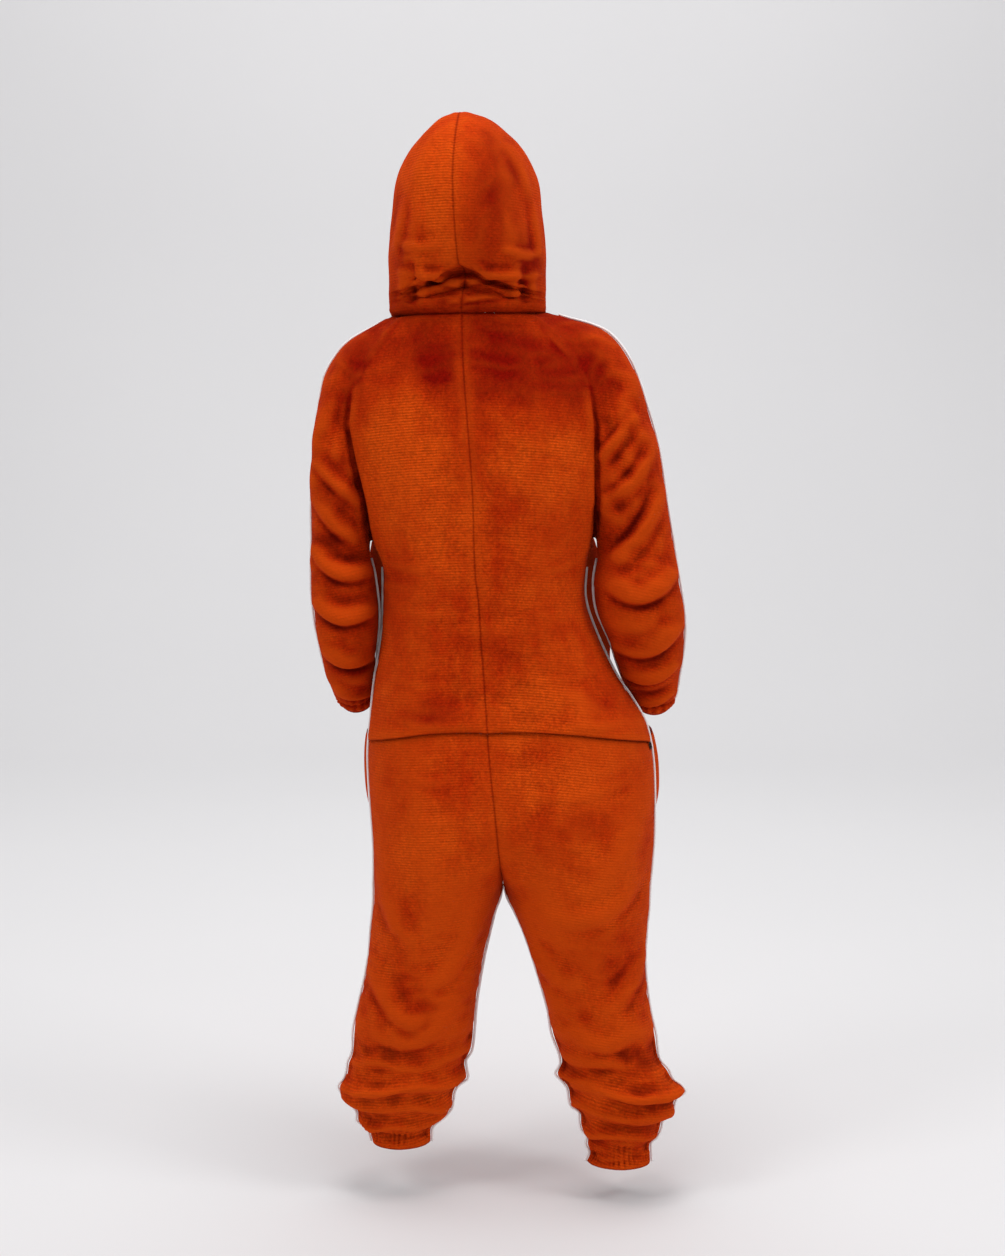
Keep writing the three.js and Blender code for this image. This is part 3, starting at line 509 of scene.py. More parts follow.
@dataclass(frozen=True)
class SatinFinish:
    """White satin over the cord of the piping."""

    white: tuple = (0.93, 0.91, 0.90)
    shade: tuple = (0.80, 0.72, 0.69)

    def material(self) -> bpy.types.Material:
        """Builds the piping's material.

        Returns:
            The material.
        """
        s = Shader("piping")
        color = s.ramp(s.noise(40.0, 3.0), [(0.3, self.shade), (0.5, self.white), (1.0, self.white)])
        normal = s.bump(s.noise(900.0, 2.0, 0.5, (1, 1, 0.4)), 0.0003, 0.5)
        return s.finish(color, 0.55, normal, Sheen_Weight=0.3, Sheen_Tint=(1, 0.95, 0.93, 1))


@dataclass(frozen=True)
class PlasticFinish:
    """Moulded brown plastic of a button, paler where it is rubbed."""

    body: tuple = (0.16, 0.045, 0.018)
    worn: tuple = (0.27, 0.09, 0.04)

    def material(self) -> bpy.types.Material:
        """Builds the buttons' material.

        Returns:
            The material.
        """
        s = Shader("button")
        color = s.ramp(s.noise(70.0, 3.0), [(0.35, self.body), (0.75, self.worn)])
        rough = s.math("ADD", 0.25, s.math("MULTIPLY", s.noise(220.0, 3.0), 0.25))
        normal = s.bump(s.noise(300.0), 0.0001, 0.5)
        return s.finish(color, rough, normal, Coat_Weight=0.15, Coat_Roughness=0.2)


@dataclass(frozen=True)
class ThreadFinish:
    """Woven tape or twisted thread in one tone."""

    name: str = "zip_tape"
    tone: tuple = (0.14, 0.03, 0.015)
    light: tuple = (0.24, 0.06, 0.03)

    def material(self) -> bpy.types.Material:
        """Builds the woven material.

        Returns:
            The material.
        """
        s = Shader(self.name)
        weave = s.noise(800.0, 1.0, 0.5, (1, 1, 0.3))
        color = s.ramp(weave, [(0.35, self.tone), (0.7, self.light)])
        normal = s.bump(weave, 0.0003)
        return s.finish(color, 0.85, normal, Sheen_Weight=0.2)


@dataclass(frozen=True)
class EnamelFinish:
    """Dark enamel on the zip's slider, chipped brighter in random patches."""

    enamel: tuple = (0.05, 0.018, 0.012)
    bare: tuple = (0.32, 0.26, 0.22)

    def material(self) -> bpy.types.Material:
        """Builds the slider's material.

        Returns:
            The material.
        """
        s = Shader("zip_metal")
        color = s.ramp(s.noise(500.0, 3.0), [(0.3, self.enamel), (0.66, self.enamel), (0.76, self.bare)])
        rough = s.math("ADD", 0.25, s.math("MULTIPLY", s.noise(300.0), 0.3))
        normal = s.bump(s.noise(400.0), 0.00005)
        return s.finish(color, rough, normal, Metallic=0.6)


@dataclass(frozen=True)
class StudioFinish:
    """Plain pale paper of the studio floor."""

    pale: tuple = (0.78, 0.77, 0.775)

    def material(self) -> bpy.types.Material:
        """Builds the floor's material.

        Returns:
            The material.
        """
        s = Shader("studio_paper")
        near = tuple(0.985 * c for c in self.pale)
        color = s.ramp(s.noise(0.8), [(0.3, near), (0.7, self.pale)])
        return s.finish(color, 0.9, s.bump(s.noise(400.0), 0.0001, 0.2), Specular_IOR_Level=0.1)


# Creases

# A crease runs through three points seen from the back, (x, z). Width and height are of
# its ridge; lean above 0 makes the side below it steeper.
CREASE_COLUMNS = ("x0", "z0", "x1", "z1", "x2", "z2", "width", "height", "lean")

SLEEVE_BACK = (
    (214, -150, 236, -216, 246, -280, 11, 3, 0.0),
    (248, -262, 214, -300, 172, -336, 9, 4, 0.3),
    (250, -318, 216, -366, 176, -394, 11, 5.5, 0.3),
    (254, -396, 212, -444, 150, -440, 12, 6.5, 0.35),
    (252, -486, 206, -520, 146, -500, 12, 6.5, 0.35),
    (242, -570, 196, -596, 150, -580, 11, 6, 0.35),
    (230, -640, 192, -658, 156, -646, 8, 5.5, 0.3),
    (-206, -262, -240, -226, -268, -186, 9, 4, -0.2),
    (-214, -330, -262, -296, -300, -236, 10, 4.5, -0.2),
    (-232, -424, -282, -372, -312, -300, 11, 6, -0.2),
    (-222, -462, -284, -484, -340, -440, 12, 6.5, 0.3),
    (-232, -560, -296, -574, -350, -524, 12, 6, 0.35),
    (-248, -612, -298, -624, -346, -596, 9, 6, 0.4),
    (-262, -656, -304, -668, -344, -648, 7, 5.5, 0.3),
)
BODY_BACK = (
    (120, -500, 40, -508, -30, -500, 6, 0.63, 0.0),
    (-40, -556, -110, -566, -180, -552, 6, 0.81, 0.0),
    (-60, -602, -150, -616, -222, -590, 6, 0.9, 0.0),
    (-50, -640, -120, -652, -190, -640, 6, 0.72, 0.0),
    (-46, -486, -96, -494, -150, -486, 5, 0.54, 0.0),
    (130, -610, 60, -622, -10, -612, 7, 0.68, 0.0),
    (140, -668, 60, -690, -20, -684, 7, 1.2, 0.2),
    (140, -416, 110, -430, 60, -436, 6, 1.2, 0.0),
    (-120, -436, -160, -430, -192, -410, 6, 1.5, 0.0),
    (-160, -680, -210, -690, -262, -684, 7, 1.44, 0.2),
    (-276, -770, -180, -800, -90, -792, 8, 1.2, 0.0),
    (-290, -900, -232, -990, -110, -1004, 13, 4.5, 0.2),
    (-150, -872, -176, -884, -206, -872, 5, 1.3, 0.2),
    (-160, -900, -190, -912, -222, -896, 5, 1.3, 0.2),
    (-70, -990, -120, -1090, -190, -1120, 14, 4.5, 0.2),
    (-300, -1040, -262, -1130, -196, -1166, 13, 4, 0.2),
    (-160, -1190, -220, -1222, -290, -1196, 11, 4, 0.3),
    (152, -930, 124, -1010, 84, -1050, 13, 4, 0.2),
    (-20, -1000, 20, -1084, 70, -1124, 13, 4, 0.2),
    (170, -1084, 132, -1160, 70, -1190, 13, 4.5, 0.3),
    (24, -1160, 80, -1222, 166, -1206, 11, 4, 0.3),
    (110, -760, 60, -776, 0, -770, 8, 0.96, 0.0),
    (90, -830, 50, -840, 10, -834, 8, 0.84, 0.0),
)
SLEEVE_FRONT = (
    (246, -170, 214, -236, 176, -296, 10, 5, 0.3),
    (256, -270, 222, -326, 172, -366, 11, 5, 0.3),
    (258, -396, 222, -426, 166, -416, 11, 6, 0.35),
    (256, -476, 214, -500, 156, -486, 12, 6.5, 0.35),
    (250, -560, 206, -586, 156, -572, 11, 6, 0.35),
    (238, -630, 200, -646, 160, -634, 8, 5, 0.3),
    (-280, -170, -244, -236, -208, -296, 10, 5, -0.3),
    (-306, -266, -264, -326, -214, -366, 11, 5, -0.3),
    (-330, -396, -286, -426, -222, -416, 11, 6, 0.35),
    (-346, -490, -300, -514, -226, -500, 12, 6.5, 0.35),
    (-350, -576, -306, -596, -256, -580, 11, 6, 0.35),
    (-344, -640, -312, -654, -276, -644, 8, 5, 0.3),
)
BODY_FRONT = (
    (60, -160, 110, -220, 150, -300, 9, 3, 0.2),
    (-70, -160, -130, -230, -186, -300, 9, 3, -0.2),
    (40, -300, 90, -330, 140, -380, 8, 2.5, 0.2),
    (-60, -310, -120, -340, -180, -386, 8, 2.5, -0.2),
    (20, -520, 70, -536, 130, -526, 8, 2.2, 0.0),
    (-60, -500, -120, -520, -180, -510, 8, 2.2, 0.0),
    (16, -580, 66, -604, 130, -610, 9, 3, 0.2),
    (-70, -560, -130, -590, -200, -590, 9, 3, 0.2),
    (-70, -640, -120, -660, -180, -664, 8, 3, 0.2),
    (30, -930, 70, -960, 120, -980, 9, 4, 0.3),
    (-20, -960, 30, -1020, 80, -1060, 9, 5, 0.3),
    (-90, -960, -130, -1020, -190, -1070, 9, 5, 0.3),
    (-110, -940, -170, -960, -230, -960, 9, 4, 0.3),
    (10, -1090, 60, -1130, 130, -1130, 8, 5, 0.4),
    (50, -1160, 100, -1190, 170, -1170, 8, 5, 0.4),
    (-150, -1110, -200, -1150, -270, -1140, 8, 5, 0.4),
    (-170, -1180, -220, -1210, -290, -1190, 8, 5, 0.4),
    (40, -1216, 100, -1240, 180, -1226, 8, 4, 0.4),
)
HOOD_BACK = (
    (97, 52, 86, 22, 94, -14, 9, -6, 0.0),
    (-98, 46, -90, 18, -97, -12, 8, -5, 0.0),
    (64, 34, 12, 20, -52, 34, 6, 4, 0.2),
    (72, 2, 22, 12, -34, 2, 6, 3.5, 0.2),
    (34, -12, -16, -6, -74, 2, 5, 3, 0.2),
    (14, 34, 60, 26, 112, 36, 6, 4, 0.4),
    (-8, 40, -60, 26, -118, 34, 6, 4, 0.4),
    (20, 10, 66, 2, 108, 6, 5, 3, 0.3),
    (-6, 14, -56, 2, -110, 8, 5, 3, 0.3),
    (120, 60, 106, 100, 100, 150, 7, 3, 0.2),
    (-118, 50, -110, 100, -104, 150, 7, 3, 0.2),
    (-116, 70, -90, 60, -50, 70, 6, 3, 0.2),
    (110, 84, 80, 70, 40, 76, 7, 2.5, 0.2),
    (-60, 240, -90, 190, -96, 140, 8, 2, 0.0),
    (30, 262, 60, 226, 78, 170, 9, 1.6, 0.0),
)


@dataclass(frozen=True)
class Creases:
    """Listed creases of one part, seen from one way."""

    rows: tuple
    gain: float = 1.0
    steps: int = 10

    def heights(self, points: np.ndarray) -> np.ndarray:
        """Adds up the creases at points.

        Args:
            points: n by 3, in millimetres.

        Returns:
            The height of the cloth over its plain shape, in millimetres.
        """
        total = np.zeros(len(points))
        for row in self.rows:
            crease = dict(zip(CREASE_COLUMNS, row))
            total += self.ridge(points, crease)
        return self.gain * total

    def ridge(self, points: np.ndarray, crease: dict) -> np.ndarray:
        """Returns the height of one crease at points.

        Args:
            points: n by 3, in millimetres.
            crease: a row by its column names.

        Returns:
            The heights, with a shallow trough on each side of the ridge.
        """
        knots = np.array([[crease[f"x{k}"], crease[f"z{k}"]] for k in range(3)])
        width = crease["width"]
        reach = 4.0 * width
        low, high = knots.min(axis=0) - reach, knots.max(axis=0) + reach
        flat = points[:, (0, 2)]
        near = np.all((flat > low) & (flat < high), axis=1)
        result = np.zeros(len(points))
        if not near.any():
            return result
        spot = flat[near]
        times = np.linspace(0.0, 1.0, self.steps + 1)[:, None]
        bend = 2 * knots[1] - 0.5 * (knots[0] + knots[2])
        line = (1 - times) ** 2 * knots[0] + 2 * times * (1 - times) * bend + times**2 * knots[2]
        best = np.full(len(spot), np.inf)
        place = np.zeros(len(spot))
        side = np.zeros(len(spot))
        for k in range(self.steps):
            a, b = line[k], line[k + 1]
            ab = b - a
            t = np.clip(((spot - a) @ ab) / (ab @ ab), 0.0, 1.0)
            away = spot - (a + t[:, None] * ab)
            distance = np.hypot(away[:, 0], away[:, 1])
            closer = distance < best
            best[closer] = distance[closer]
            place[closer] = (k + t[closer]) / self.steps
            side[closer] = np.sign(away[closer, 1])
        spread = width * (1.0 + crease["lean"] * side)
        d = best / spread
        profile = np.exp(-d * d) - 0.4 * np.exp(-2.0 * (d - 1.8) ** 2)
        fade = np.sin(math.pi * np.clip(place, 0.0, 1.0)) ** 0.7
        result[near] = crease["height"] * profile * fade
        return result


# Where the gap between body and sleeve lies below the underarm, for the wearer's left and
# right.
SPLIT_COLUMNS = ("z", "left", "right")
SPLIT = (
    (-690, 164, -288), (-648, 163, -272), (-608, 157, -248), (-560, 147, -223),
    (-512, 146, -203), (-440, 150, -203), (-395, 158, -205),
    (-325, 166, -205), (-265, 180, -204), (-205, 190, -203), (-150, 182, -194),
    (-100, 150, -160), (-58, 118, -120), (-28, 96, -96), (300, 96, -96),
)


def into_sleeve(points: np.ndarray) -> np.ndarray:
    """Measures how far each point lies past the gap, on the sleeve's side of it.

    Args:
        points: n by 3, in millimetres.

    Returns:
        The distances, below 0 on the body.
    """
    split = {name: np.array(c, dtype=float) for name, c in zip(SPLIT_COLUMNS, zip(*SPLIT))}
    outward_left = points[:, 0] - np.interp(points[:, 2], split["z"], split["left"])
    outward_right = np.interp(points[:, 2], split["z"], split["right"]) - points[:, 0]
    return np.maximum(outward_left, outward_right)


def sleeve_share(points: np.ndarray) -> np.ndarray:
    """Returns 1 on the sleeves and 0 on the body, softly in between."""
    above = smooth(points[:, 2], -724.0, -700.0)
    return smooth(into_sleeve(points), -4.0, 4.0) * above


def bell(x: np.ndarray, middle: float, reach: float) -> np.ndarray:
    """Returns a soft hump, 1 at its middle and nearly 0 past twice its reach."""
    return np.exp(-(((x - middle) / reach) ** 2))


def fuller_front(points: np.ndarray) -> np.ndarray:
    """Fills the front out sideways just under the arm, in the gap's shade.

    Args:
        points: n by 3, in millimetres.

    Returns:
        How far each point moves along X.
    """
    full, height, reach = 7.0, -414.0, 24.0
    past = into_sleeve(points)
    across = smooth(past, -52.0, -24.0) * smooth(past, 34.0, 22.0)
    deep = smooth(points[:, 1], -24.0, -44.0) * (points[:, 1] > -110.0)
    return full * np.sign(points[:, 0] + 30.0) * across * deep * bell(points[:, 2], height, reach)


def arm_crease(points: np.ndarray) -> np.ndarray:
    """Shapes the crisp crease where the back laps over the sleeve.

    Args:
        points: n by 3, in millimetres.

    Returns:
        Its height at each.
    """
    past = into_sleeve(points)
    lap = 2.6 * bell(past, -6.0, 7.0) - 5.0 * bell(past, 4.0, 4.5)
    return lap * smooth(points[:, 2], -430.0, -396.0) * smooth(points[:, 2], -130.0, -200.0)


# The middle lines of the body, legs and sleeves, by height: z, then x and y.
MIDDLE_COLUMNS = ("z", "x", "y")
MIDDLE_X = -57.0  # between the legs at the crotch
BODY_MIDDLE = ((-1020, -60, 8), (-970, -57, 8), (-700, -32, -4), (-380, -14, -8), (-28, 0, 0))
LEFT_LEG_MIDDLE = ((-1440, 114, 8), (-1300, 108, 4), (-1100, 70, 5), (-970, 40, 8))
RIGHT_LEG_MIDDLE = ((-1440, -250, 38), (-1300, -246, 28), (-1100, -210, 18), (-970, -170, 8))
LEFT_SLEEVE_MIDDLE = ((-680, 192, -82), (-600, 198, -30), (-400, 212, 2), (-30, 112, 20))
RIGHT_SLEEVE_MIDDLE = ((-680, -314, -85), (-600, -300, -30), (-400, -272, 6), (-30, -112, 20))


def away_from(points: np.ndarray, middle: tuple) -> np.ndarray:
    """Finds the level direction from a middle line to each point.

    Args:
        points: n by 3, in millimetres.
        middle: rows of MIDDLE_COLUMNS.

    Returns:
        n by 3 directions.
    """
    line = {name: np.array(c, dtype=float) for name, c in zip(MIDDLE_COLUMNS, zip(*middle))}
    flat = np.column_stack([points[:, 0] - np.interp(points[:, 2], line["z"], line["x"]),
                            points[:, 1] - np.interp(points[:, 2], line["z"], line["y"]),
                            np.zeros(len(points))])
    return flat / np.maximum(np.linalg.norm(flat, axis=1, keepdims=True), 1e-6)


def seam_direction(points: np.ndarray, sleeves: np.ndarray) -> np.ndarray:
    """Says which way is out at a seam. It depends on the place alone, so both sides agree.

    Args:
        points: n by 3, in millimetres.
        sleeves: 1 on the sleeves.

    Returns:
        n by 3 directions.
    """
    left = points[:, 0] > MIDDLE_X
    body = away_from(points, BODY_MIDDLE)
    leg = np.where(left[:, None], away_from(points, LEFT_LEG_MIDDLE), away_from(points, RIGHT_LEG_MIDDLE))
    sleeve = np.where(left[:, None], away_from(points, LEFT_SLEEVE_MIDDLE),
                      away_from(points, RIGHT_SLEEVE_MIDDLE))
    head = points - HEAD_CENTRE
    head /= np.maximum(np.linalg.norm(head, axis=1, keepdims=True), 1e-6)
    low = smooth(points[:, 2], -985.0, -1060.0)[:, None]
    high = smooth(points[:, 2], -30.0, 60.0)[:, None]
    arm = (sleeves * smooth(points[:, 2], -110.0, -200.0))[:, None]
    out = body * (1 - low) + leg * low
    out = out * (1 - arm) + sleeve * arm
    return out * (1 - high) + head * high


# Rolls that stack above each ankle: the height of a roll's middle, its slope across the
# leg, and its ridge.
ROLL_COLUMNS = ("side", "z", "tilt", "width", "height")
ROLLS = (
    (1, -1264, -0.04, 10, 7.0),
    (1, -1304, -0.10, 10, 10.0),
    (1, -1342, 0.04, 9, 9.5),
    (1, -1378, -0.06, 8, 7.5),
    (-1, -1260, -0.10, 11, 7.0),
    (-1, -1302, -0.14, 11, 11.0),
    (-1, -1346, -0.10, 10, 10.0),
    (-1, -1386, -0.06, 9, 8.5),
    (-1, -1419, -0.04, 6, 5.0),
)
LEG_MIDDLE = {1: 106.0, -1: -240.0}
LEG_DEPTH = 15.0
LEGS_PART = -80.0  # between the ankles


def ankle_rolls(points: np.ndarray) -> np.ndarray:
    """Stacks the small rolls above the ankles.

    Args:
        points: n by 3, in millimetres.

    Returns:
        Their height at each.
    """
    total = np.zeros(len(points))
    for row in ROLLS:
        roll = dict(zip(ROLL_COLUMNS, row))
        side = roll["side"]
        across = points[:, 0] - LEG_MIDDLE[side]
        around = np.arctan2(points[:, 1] - LEG_DEPTH, across)
        middle = roll["z"] + roll["tilt"] * across * side + 6 * np.sin(3 * around + roll["z"])
        up = points[:, 2] - middle
        d = up / (roll["width"] * np.where(up > 0, 1.3, 0.6))
        uneven = 0.72 + 0.28 * np.sin(2 * around + 0.05 * roll["z"])
        on_side = points[:, 0] * side > LEGS_PART * side
        total += roll["height"] * uneven * (np.exp(-d * d) - 0.25) * on_side
    return total * smooth(points[:, 2], -1200.0, -1240.0)


@dataclass(frozen=True)
class Casing:
    """An elastic casing at an opening: a plump band with gathers and a stitched edge."""

    centre: tuple
    along: tuple
    radius: float
    depth: float = 22.0
    gathers: int = 34
    height: float = 2.6
    plump: float = 2.0
    stitch: float = 2.6

    def heights(self, points: np.ndarray) -> np.ndarray:
        """Returns the height of the casing at points.

        Args:
            points: n by 3, in millimetres.

        Returns:
            The heights, 0 away from this opening.
        """
        axis = np.array(self.along) / np.linalg.norm(self.along)
        offset = points - np.array(self.centre)
        up = -(offset @ axis)
        radial = offset + up[:, None] * axis
        near = smooth(np.linalg.norm(radial, axis=1), self.radius * 1.9, self.radius * 1.5)
        first = np.cross(axis, [0.0, 1.0, 0.3])
        first /= np.linalg.norm(first)
        second = np.cross(axis, first)
        angle = np.arctan2(radial @ second, radial @ first)
        wobble = 1.3 * np.sin(3 * angle + 1.0) + 0.8 * np.sin(5 * angle)
        wave = np.sin(self.gathers * angle + wobble * 2 + 0.04 * up)
        uneven = 0.6 + 0.4 * np.sin(4 * angle + 2.0)
        fade = smooth(up, self.depth * 3.2, self.depth) * smooth(up, -12.0, 0.0)
        plump = bell(up, 0.45 * self.depth, 0.42 * self.depth)
        gathered = self.height * wave * uneven * (0.4 + 0.6 * plump)
        return near * fade * (gathered + self.plump * plump - self.stitch * bell(up, self.depth, 3.0))


# The uneven small wrinkles of each part: their height, the size of one along each axis,
# and the seed that places them.
WRINKLES = {
    "hood": (0.8, (34, 34, 60), 2.0),
    "sleeves": (1.3, (54, 54, 34), 1.0),
    "legs": (1.8, (46, 46, 26), 4.0),
    "body": (0.7, (60, 60, 30), 7.0),
}
TURNED = (-0.05, 0.4)  # a face looks back, or to the front, from here to here
LEGS_BEGIN = (-960.0, -1100.0)
HOOD_GAIN = 1.3
SLEEVE_GAIN = 1.5


def small_wrinkles(points: np.ndarray, part: str) -> np.ndarray:
    """Returns uneven soft wrinkles with rounded crests and sharper troughs.

    Args:
        points: n by 3, in millimetres.
        part: a name in WRINKLES.

    Returns:
        Their heights.
    """
    height, scale, seed = WRINKLES[part]
    broad = noise_at(points, scale, seed)
    fine = noise_at(points, tuple(0.45 * s for s in scale), seed + 11.0)
    return height * (1.0 - 2.2 * np.abs(broad) + 0.35 * fine)


CASINGS = (
    Casing((115, 8, -1416), (0.10, 0.0, -1.0), 52),
    Casing((-250, 39, -1440), (-0.08, 0.0, -1.0), 58),
    Casing((191, -81, -672), (-0.05, -0.55, -0.8), 34, depth=16.0, gathers=22, height=2.2),
    Casing((-311, -85, -673), (0.0, -0.5, -0.85), 36, depth=16.0, gathers=22, height=2.2),
)

# Places where the pile lies down (share above 0) or stands up (below 0), seen from the back.
NAP_COLUMNS = ("x", "z", "reach_x", "reach_z", "share")
NAP_BACK = (
    (20, -50, 210, 60, 0.34), (-80, -120, 100, 70, 0.44), (70, -110, 60, 46, 0.30),
    (170, -130, 40, 70, 0.34), (-170, -120, 50, 70, 0.36), (-140, -262, 60, 66, -0.25),
    (92, -250, 76, 90, -0.22), (150, -220, 40, 60, -0.2), (-40, -520, 14, 150, 0.16),
    (112, -480, 30, 70, 0.22), (60, -664, 70, 22, 0.30), (-246, -650, 42, 44, 0.2),
    (40, -400, 60, 80, -0.12), (-110, -640, 70, 60, -0.2), (-48, 170, 46, 110, 0.55),
    (-100, 60, 30, 50, 0.4), (112, 110, 20, 80, 0.4), (50, 120, 40, 90, -0.25),
    (60, -780, 60, 34, 0.2), (-210, -830, 60, 40, 0.2), (-150, -780, 70, 40, -0.25),
    (60, -880, 70, 70, -0.25), (80, -1172, 60, 60, 0.25), (-240, -1060, 50, 60, 0.2),
    (-200, -960, 60, 60, -0.2), (30, -1060, 40, 60, -0.15),
)


NAP_BASE = 0.36
NAP_ON_SLEEVES = 0.16
NAP_AT_ANKLES = -0.04
NAP_BLOTCHES = ((0.13, (60, 60, 60), 5.5), (0.09, (26, 26, 34), 2.5))  # share, size, seed


def nap_map(points: np.ndarray, sleeves: np.ndarray) -> np.ndarray:
    """Says how far the pile lies down at points.

    Args:
        points: n by 3, in millimetres.
        sleeves: 1 on the sleeves, 0 elsewhere.

    Returns:
        Values from 0, standing, to 1, brushed down.
    """
    warp_x = 26 * noise_at(points, (60, 60, 60), 3.1)
    warp_z = 22 * noise_at(points, (48, 48, 48), 8.7)
    nap = np.full(len(points), NAP_BASE)
    for row in NAP_BACK:
        patch = dict(zip(NAP_COLUMNS, row))
        dx = (points[:, 0] + warp_x - patch["x"]) / patch["reach_x"]
        dz = (points[:, 2] + warp_z - patch["z"]) / patch["reach_z"]
        nap += patch["share"] * np.exp(-(dx * dx + dz * dz))
    nap += NAP_ON_SLEEVES * sleeves + NAP_AT_ANKLES * smooth(points[:, 2], -1200.0, -1270.0)
    nap += sum(share * noise_at(points, size, seed) for share, size, seed in NAP_BLOTCHES)
    return np.clip(nap, 0.0, 1.0)


def courses(points: np.ndarray) -> np.ndarray:
    """Counts the brushed courses of the pile, in millimetres of height.

    Args:
        points: n by 3, in millimetres.

    Returns:
        The height along the cloth, which sags towards the body's middle.
    """
    sag, middle, tilt = 0.00035, -40.0, 0.02
    return points[:, 2] + sag * (points[:, 0] - middle) ** 2 - tilt * points[:, 0]


# Cloth panels


@dataclass
class Panel:
    """One cut piece of plush, grown from the outer skin of its solid."""

    name: str
    facing: Facing
    flat: tuple
    area: float
    held: str = "hung"
    levels: int = 3
    seam_dip: float = 1.8
    seam_reach: float = 5.0
    calm: float = 0.0
    spread: float = 0.5
    neck_spread: float = 1.5
    hollow_steps: int = 60
    hollow_scale: float = 3.4
    rests_on: tuple = ()

    def hint(self, middles: np.ndarray) -> np.ndarray:
        """Says which way is out.

        Args:
            middles: of faces, n by 3 in millimetres.

        Returns:
            The outward direction at each.
        """
        if self.facing is Facing.HEAD:
            return middles - HEAD_CENTRE
        sign = 1.0 if self.facing is Facing.BACK else -1.0
        return np.tile([0.0, sign, 0.0], (len(middles), 1))

    def skin(self) -> bpy.types.Mesh:
        """Takes the outer skin off the solid's wall, in quads where it can.

        Returns:
            A new mesh of the outer side alone.
        """
        work = bmesh.new()
        work.from_mesh(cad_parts[self.name].data)
        bmesh.ops.remove_doubles(work, verts=work.verts, dist=WELD)
        rim = [f for f in work.faces if self.on_rim(f)]
        bmesh.ops.delete(work, geom=rim, context="FACES_ONLY")
        islands = self.islands(work)
        islands.sort(key=self.outwardness)
        inside = [f for island in islands[:-1] for f in island]
        bmesh.ops.delete(work, geom=inside, context="FACES")
        loose = [v for v in work.verts if not v.link_faces]
        bmesh.ops.delete(work, geom=loose, context="VERTS")
        bmesh.ops.join_triangles(work, faces=work.faces, angle_face_threshold=QUAD_ANGLE,
                                 angle_shape_threshold=QUAD_ANGLE)
        mesh = bpy.data.meshes.new(self.name + "_skin")
        work.to_mesh(mesh)
        work.free()
        return mesh

    def on_rim(self, face: bmesh.types.BMFace) -> bool:
        """Tells the wall's edge by its sides, which are as long as the cloth is thick.

        Args:
            face: of the solid, in metres.

        Returns:
            Whether it closes the wall's edge.
        """
        at_neck = self.facing is not Facing.HEAD and face.calc_center_median().z / MM > NECK_LOW
        slack = NECK_RIM_SLACK if at_neck else RIM_SLACK
        return any(abs(e.calc_length() / MM - CLOTH) < slack for e in face.edges)

    @staticmethod
    def islands(work: bmesh.types.BMesh) -> list:
        """Groups the faces that hang together.

        Args:
            work: a mesh with its edges cut free.

        Returns:
            A list of faces for each island.
        """
        left = set(work.faces)
        found = []
        while left:
            start = left.pop()
            island = [start]
            queue = [start]
            while queue:
                for edge in queue.pop().edges:
                    for face in edge.link_faces:
                        if face in left:
                            left.remove(face)
                            island.append(face)
                            queue.append(face)
            found.append(island)
        return found

    def outwardness(self, island: list) -> float:
        """Measures how much of an island looks outward.

        Args:
            island: its faces.

        Returns:
            The area that looks out less the area that looks in.
        """
        middles = np.array([f.calc_center_median() for f in island]) / MM
        normals = np.array([f.normal for f in island])
        areas = np.array([f.calc_area() for f in island])
        return float((np.sum(normals * self.hint(middles), axis=1) * areas).sum())

    def refine(self, mesh: bpy.types.Mesh) -> bpy.types.Mesh:
        """Rounds the skin, still passing through its points.

        Args:
            mesh: the coarse skin.

        Returns:
            The fine skin.
        """
        thing = bpy.data.objects.new(self.name + "_work", mesh)
        bpy.context.scene.collection.objects.link(thing)
        rounder = thing.modifiers.new("round", "SUBSURF")
        rounder.levels = self.levels
        rounder.boundary_smooth = "PRESERVE_CORNERS"
        target = vertex_points(mesh)
        guide = target.copy()
        for last in (False, False, True):
            set_points(mesh, guide)
            seen = thing.evaluated_get(bpy.context.evaluated_depsgraph_get())
            fine = bpy.data.meshes.new_from_object(seen)
            if last:
                break
            guide += FIT_SHARE * (target - vertex_points(fine)[: len(target)])
            bpy.data.meshes.remove(fine)
        bpy.data.objects.remove(thing)
        return fine

    @staticmethod
    def edges_of(mesh: bpy.types.Mesh) -> tuple:
        """Lists a panel's edges.

        Args:
            mesh: its skin.

        Returns:
            The ends of every edge, and whether it is on the border.
        """
        use = np.zeros(len(mesh.edges), dtype=int)
        loops = np.empty(len(mesh.loops), dtype=np.int32)
        mesh.loops.foreach_get("edge_index", loops)
        np.add.at(use, loops, 1)
        ends = np.empty(len(mesh.edges) * 2, dtype=np.int32)
        mesh.edges.foreach_get("vertices", ends)
        return ends.reshape(-1, 2), use == 1

    def hollowness(self, mesh: bpy.types.Mesh, points: np.ndarray, normals: np.ndarray) -> np.ndarray:
        """Measures how far each point stands over the cloth around it.

        Args:
            mesh: the fine skin.
            points: its dressed points, in millimetres.
            normals: their normals.

        Returns:
            Values from -1, deep in a fold, to 1, on a crest.
        """
        ends, _ = self.edges_of(mesh)
        here = ends.ravel()
        there = ends[:, ::-1].ravel()
        count = np.bincount(here, minlength=len(points))
        around = points.copy()
        for _ in range(self.hollow_steps):
            total = [np.bincount(here, around[there, k], len(points)) / count for k in range(3)]
            around = 0.5 * around + 0.5 * np.column_stack(total)
        over = np.sum((points - around) * normals, axis=1)
        return np.clip(over / self.hollow_scale, -1.0, 1.0)

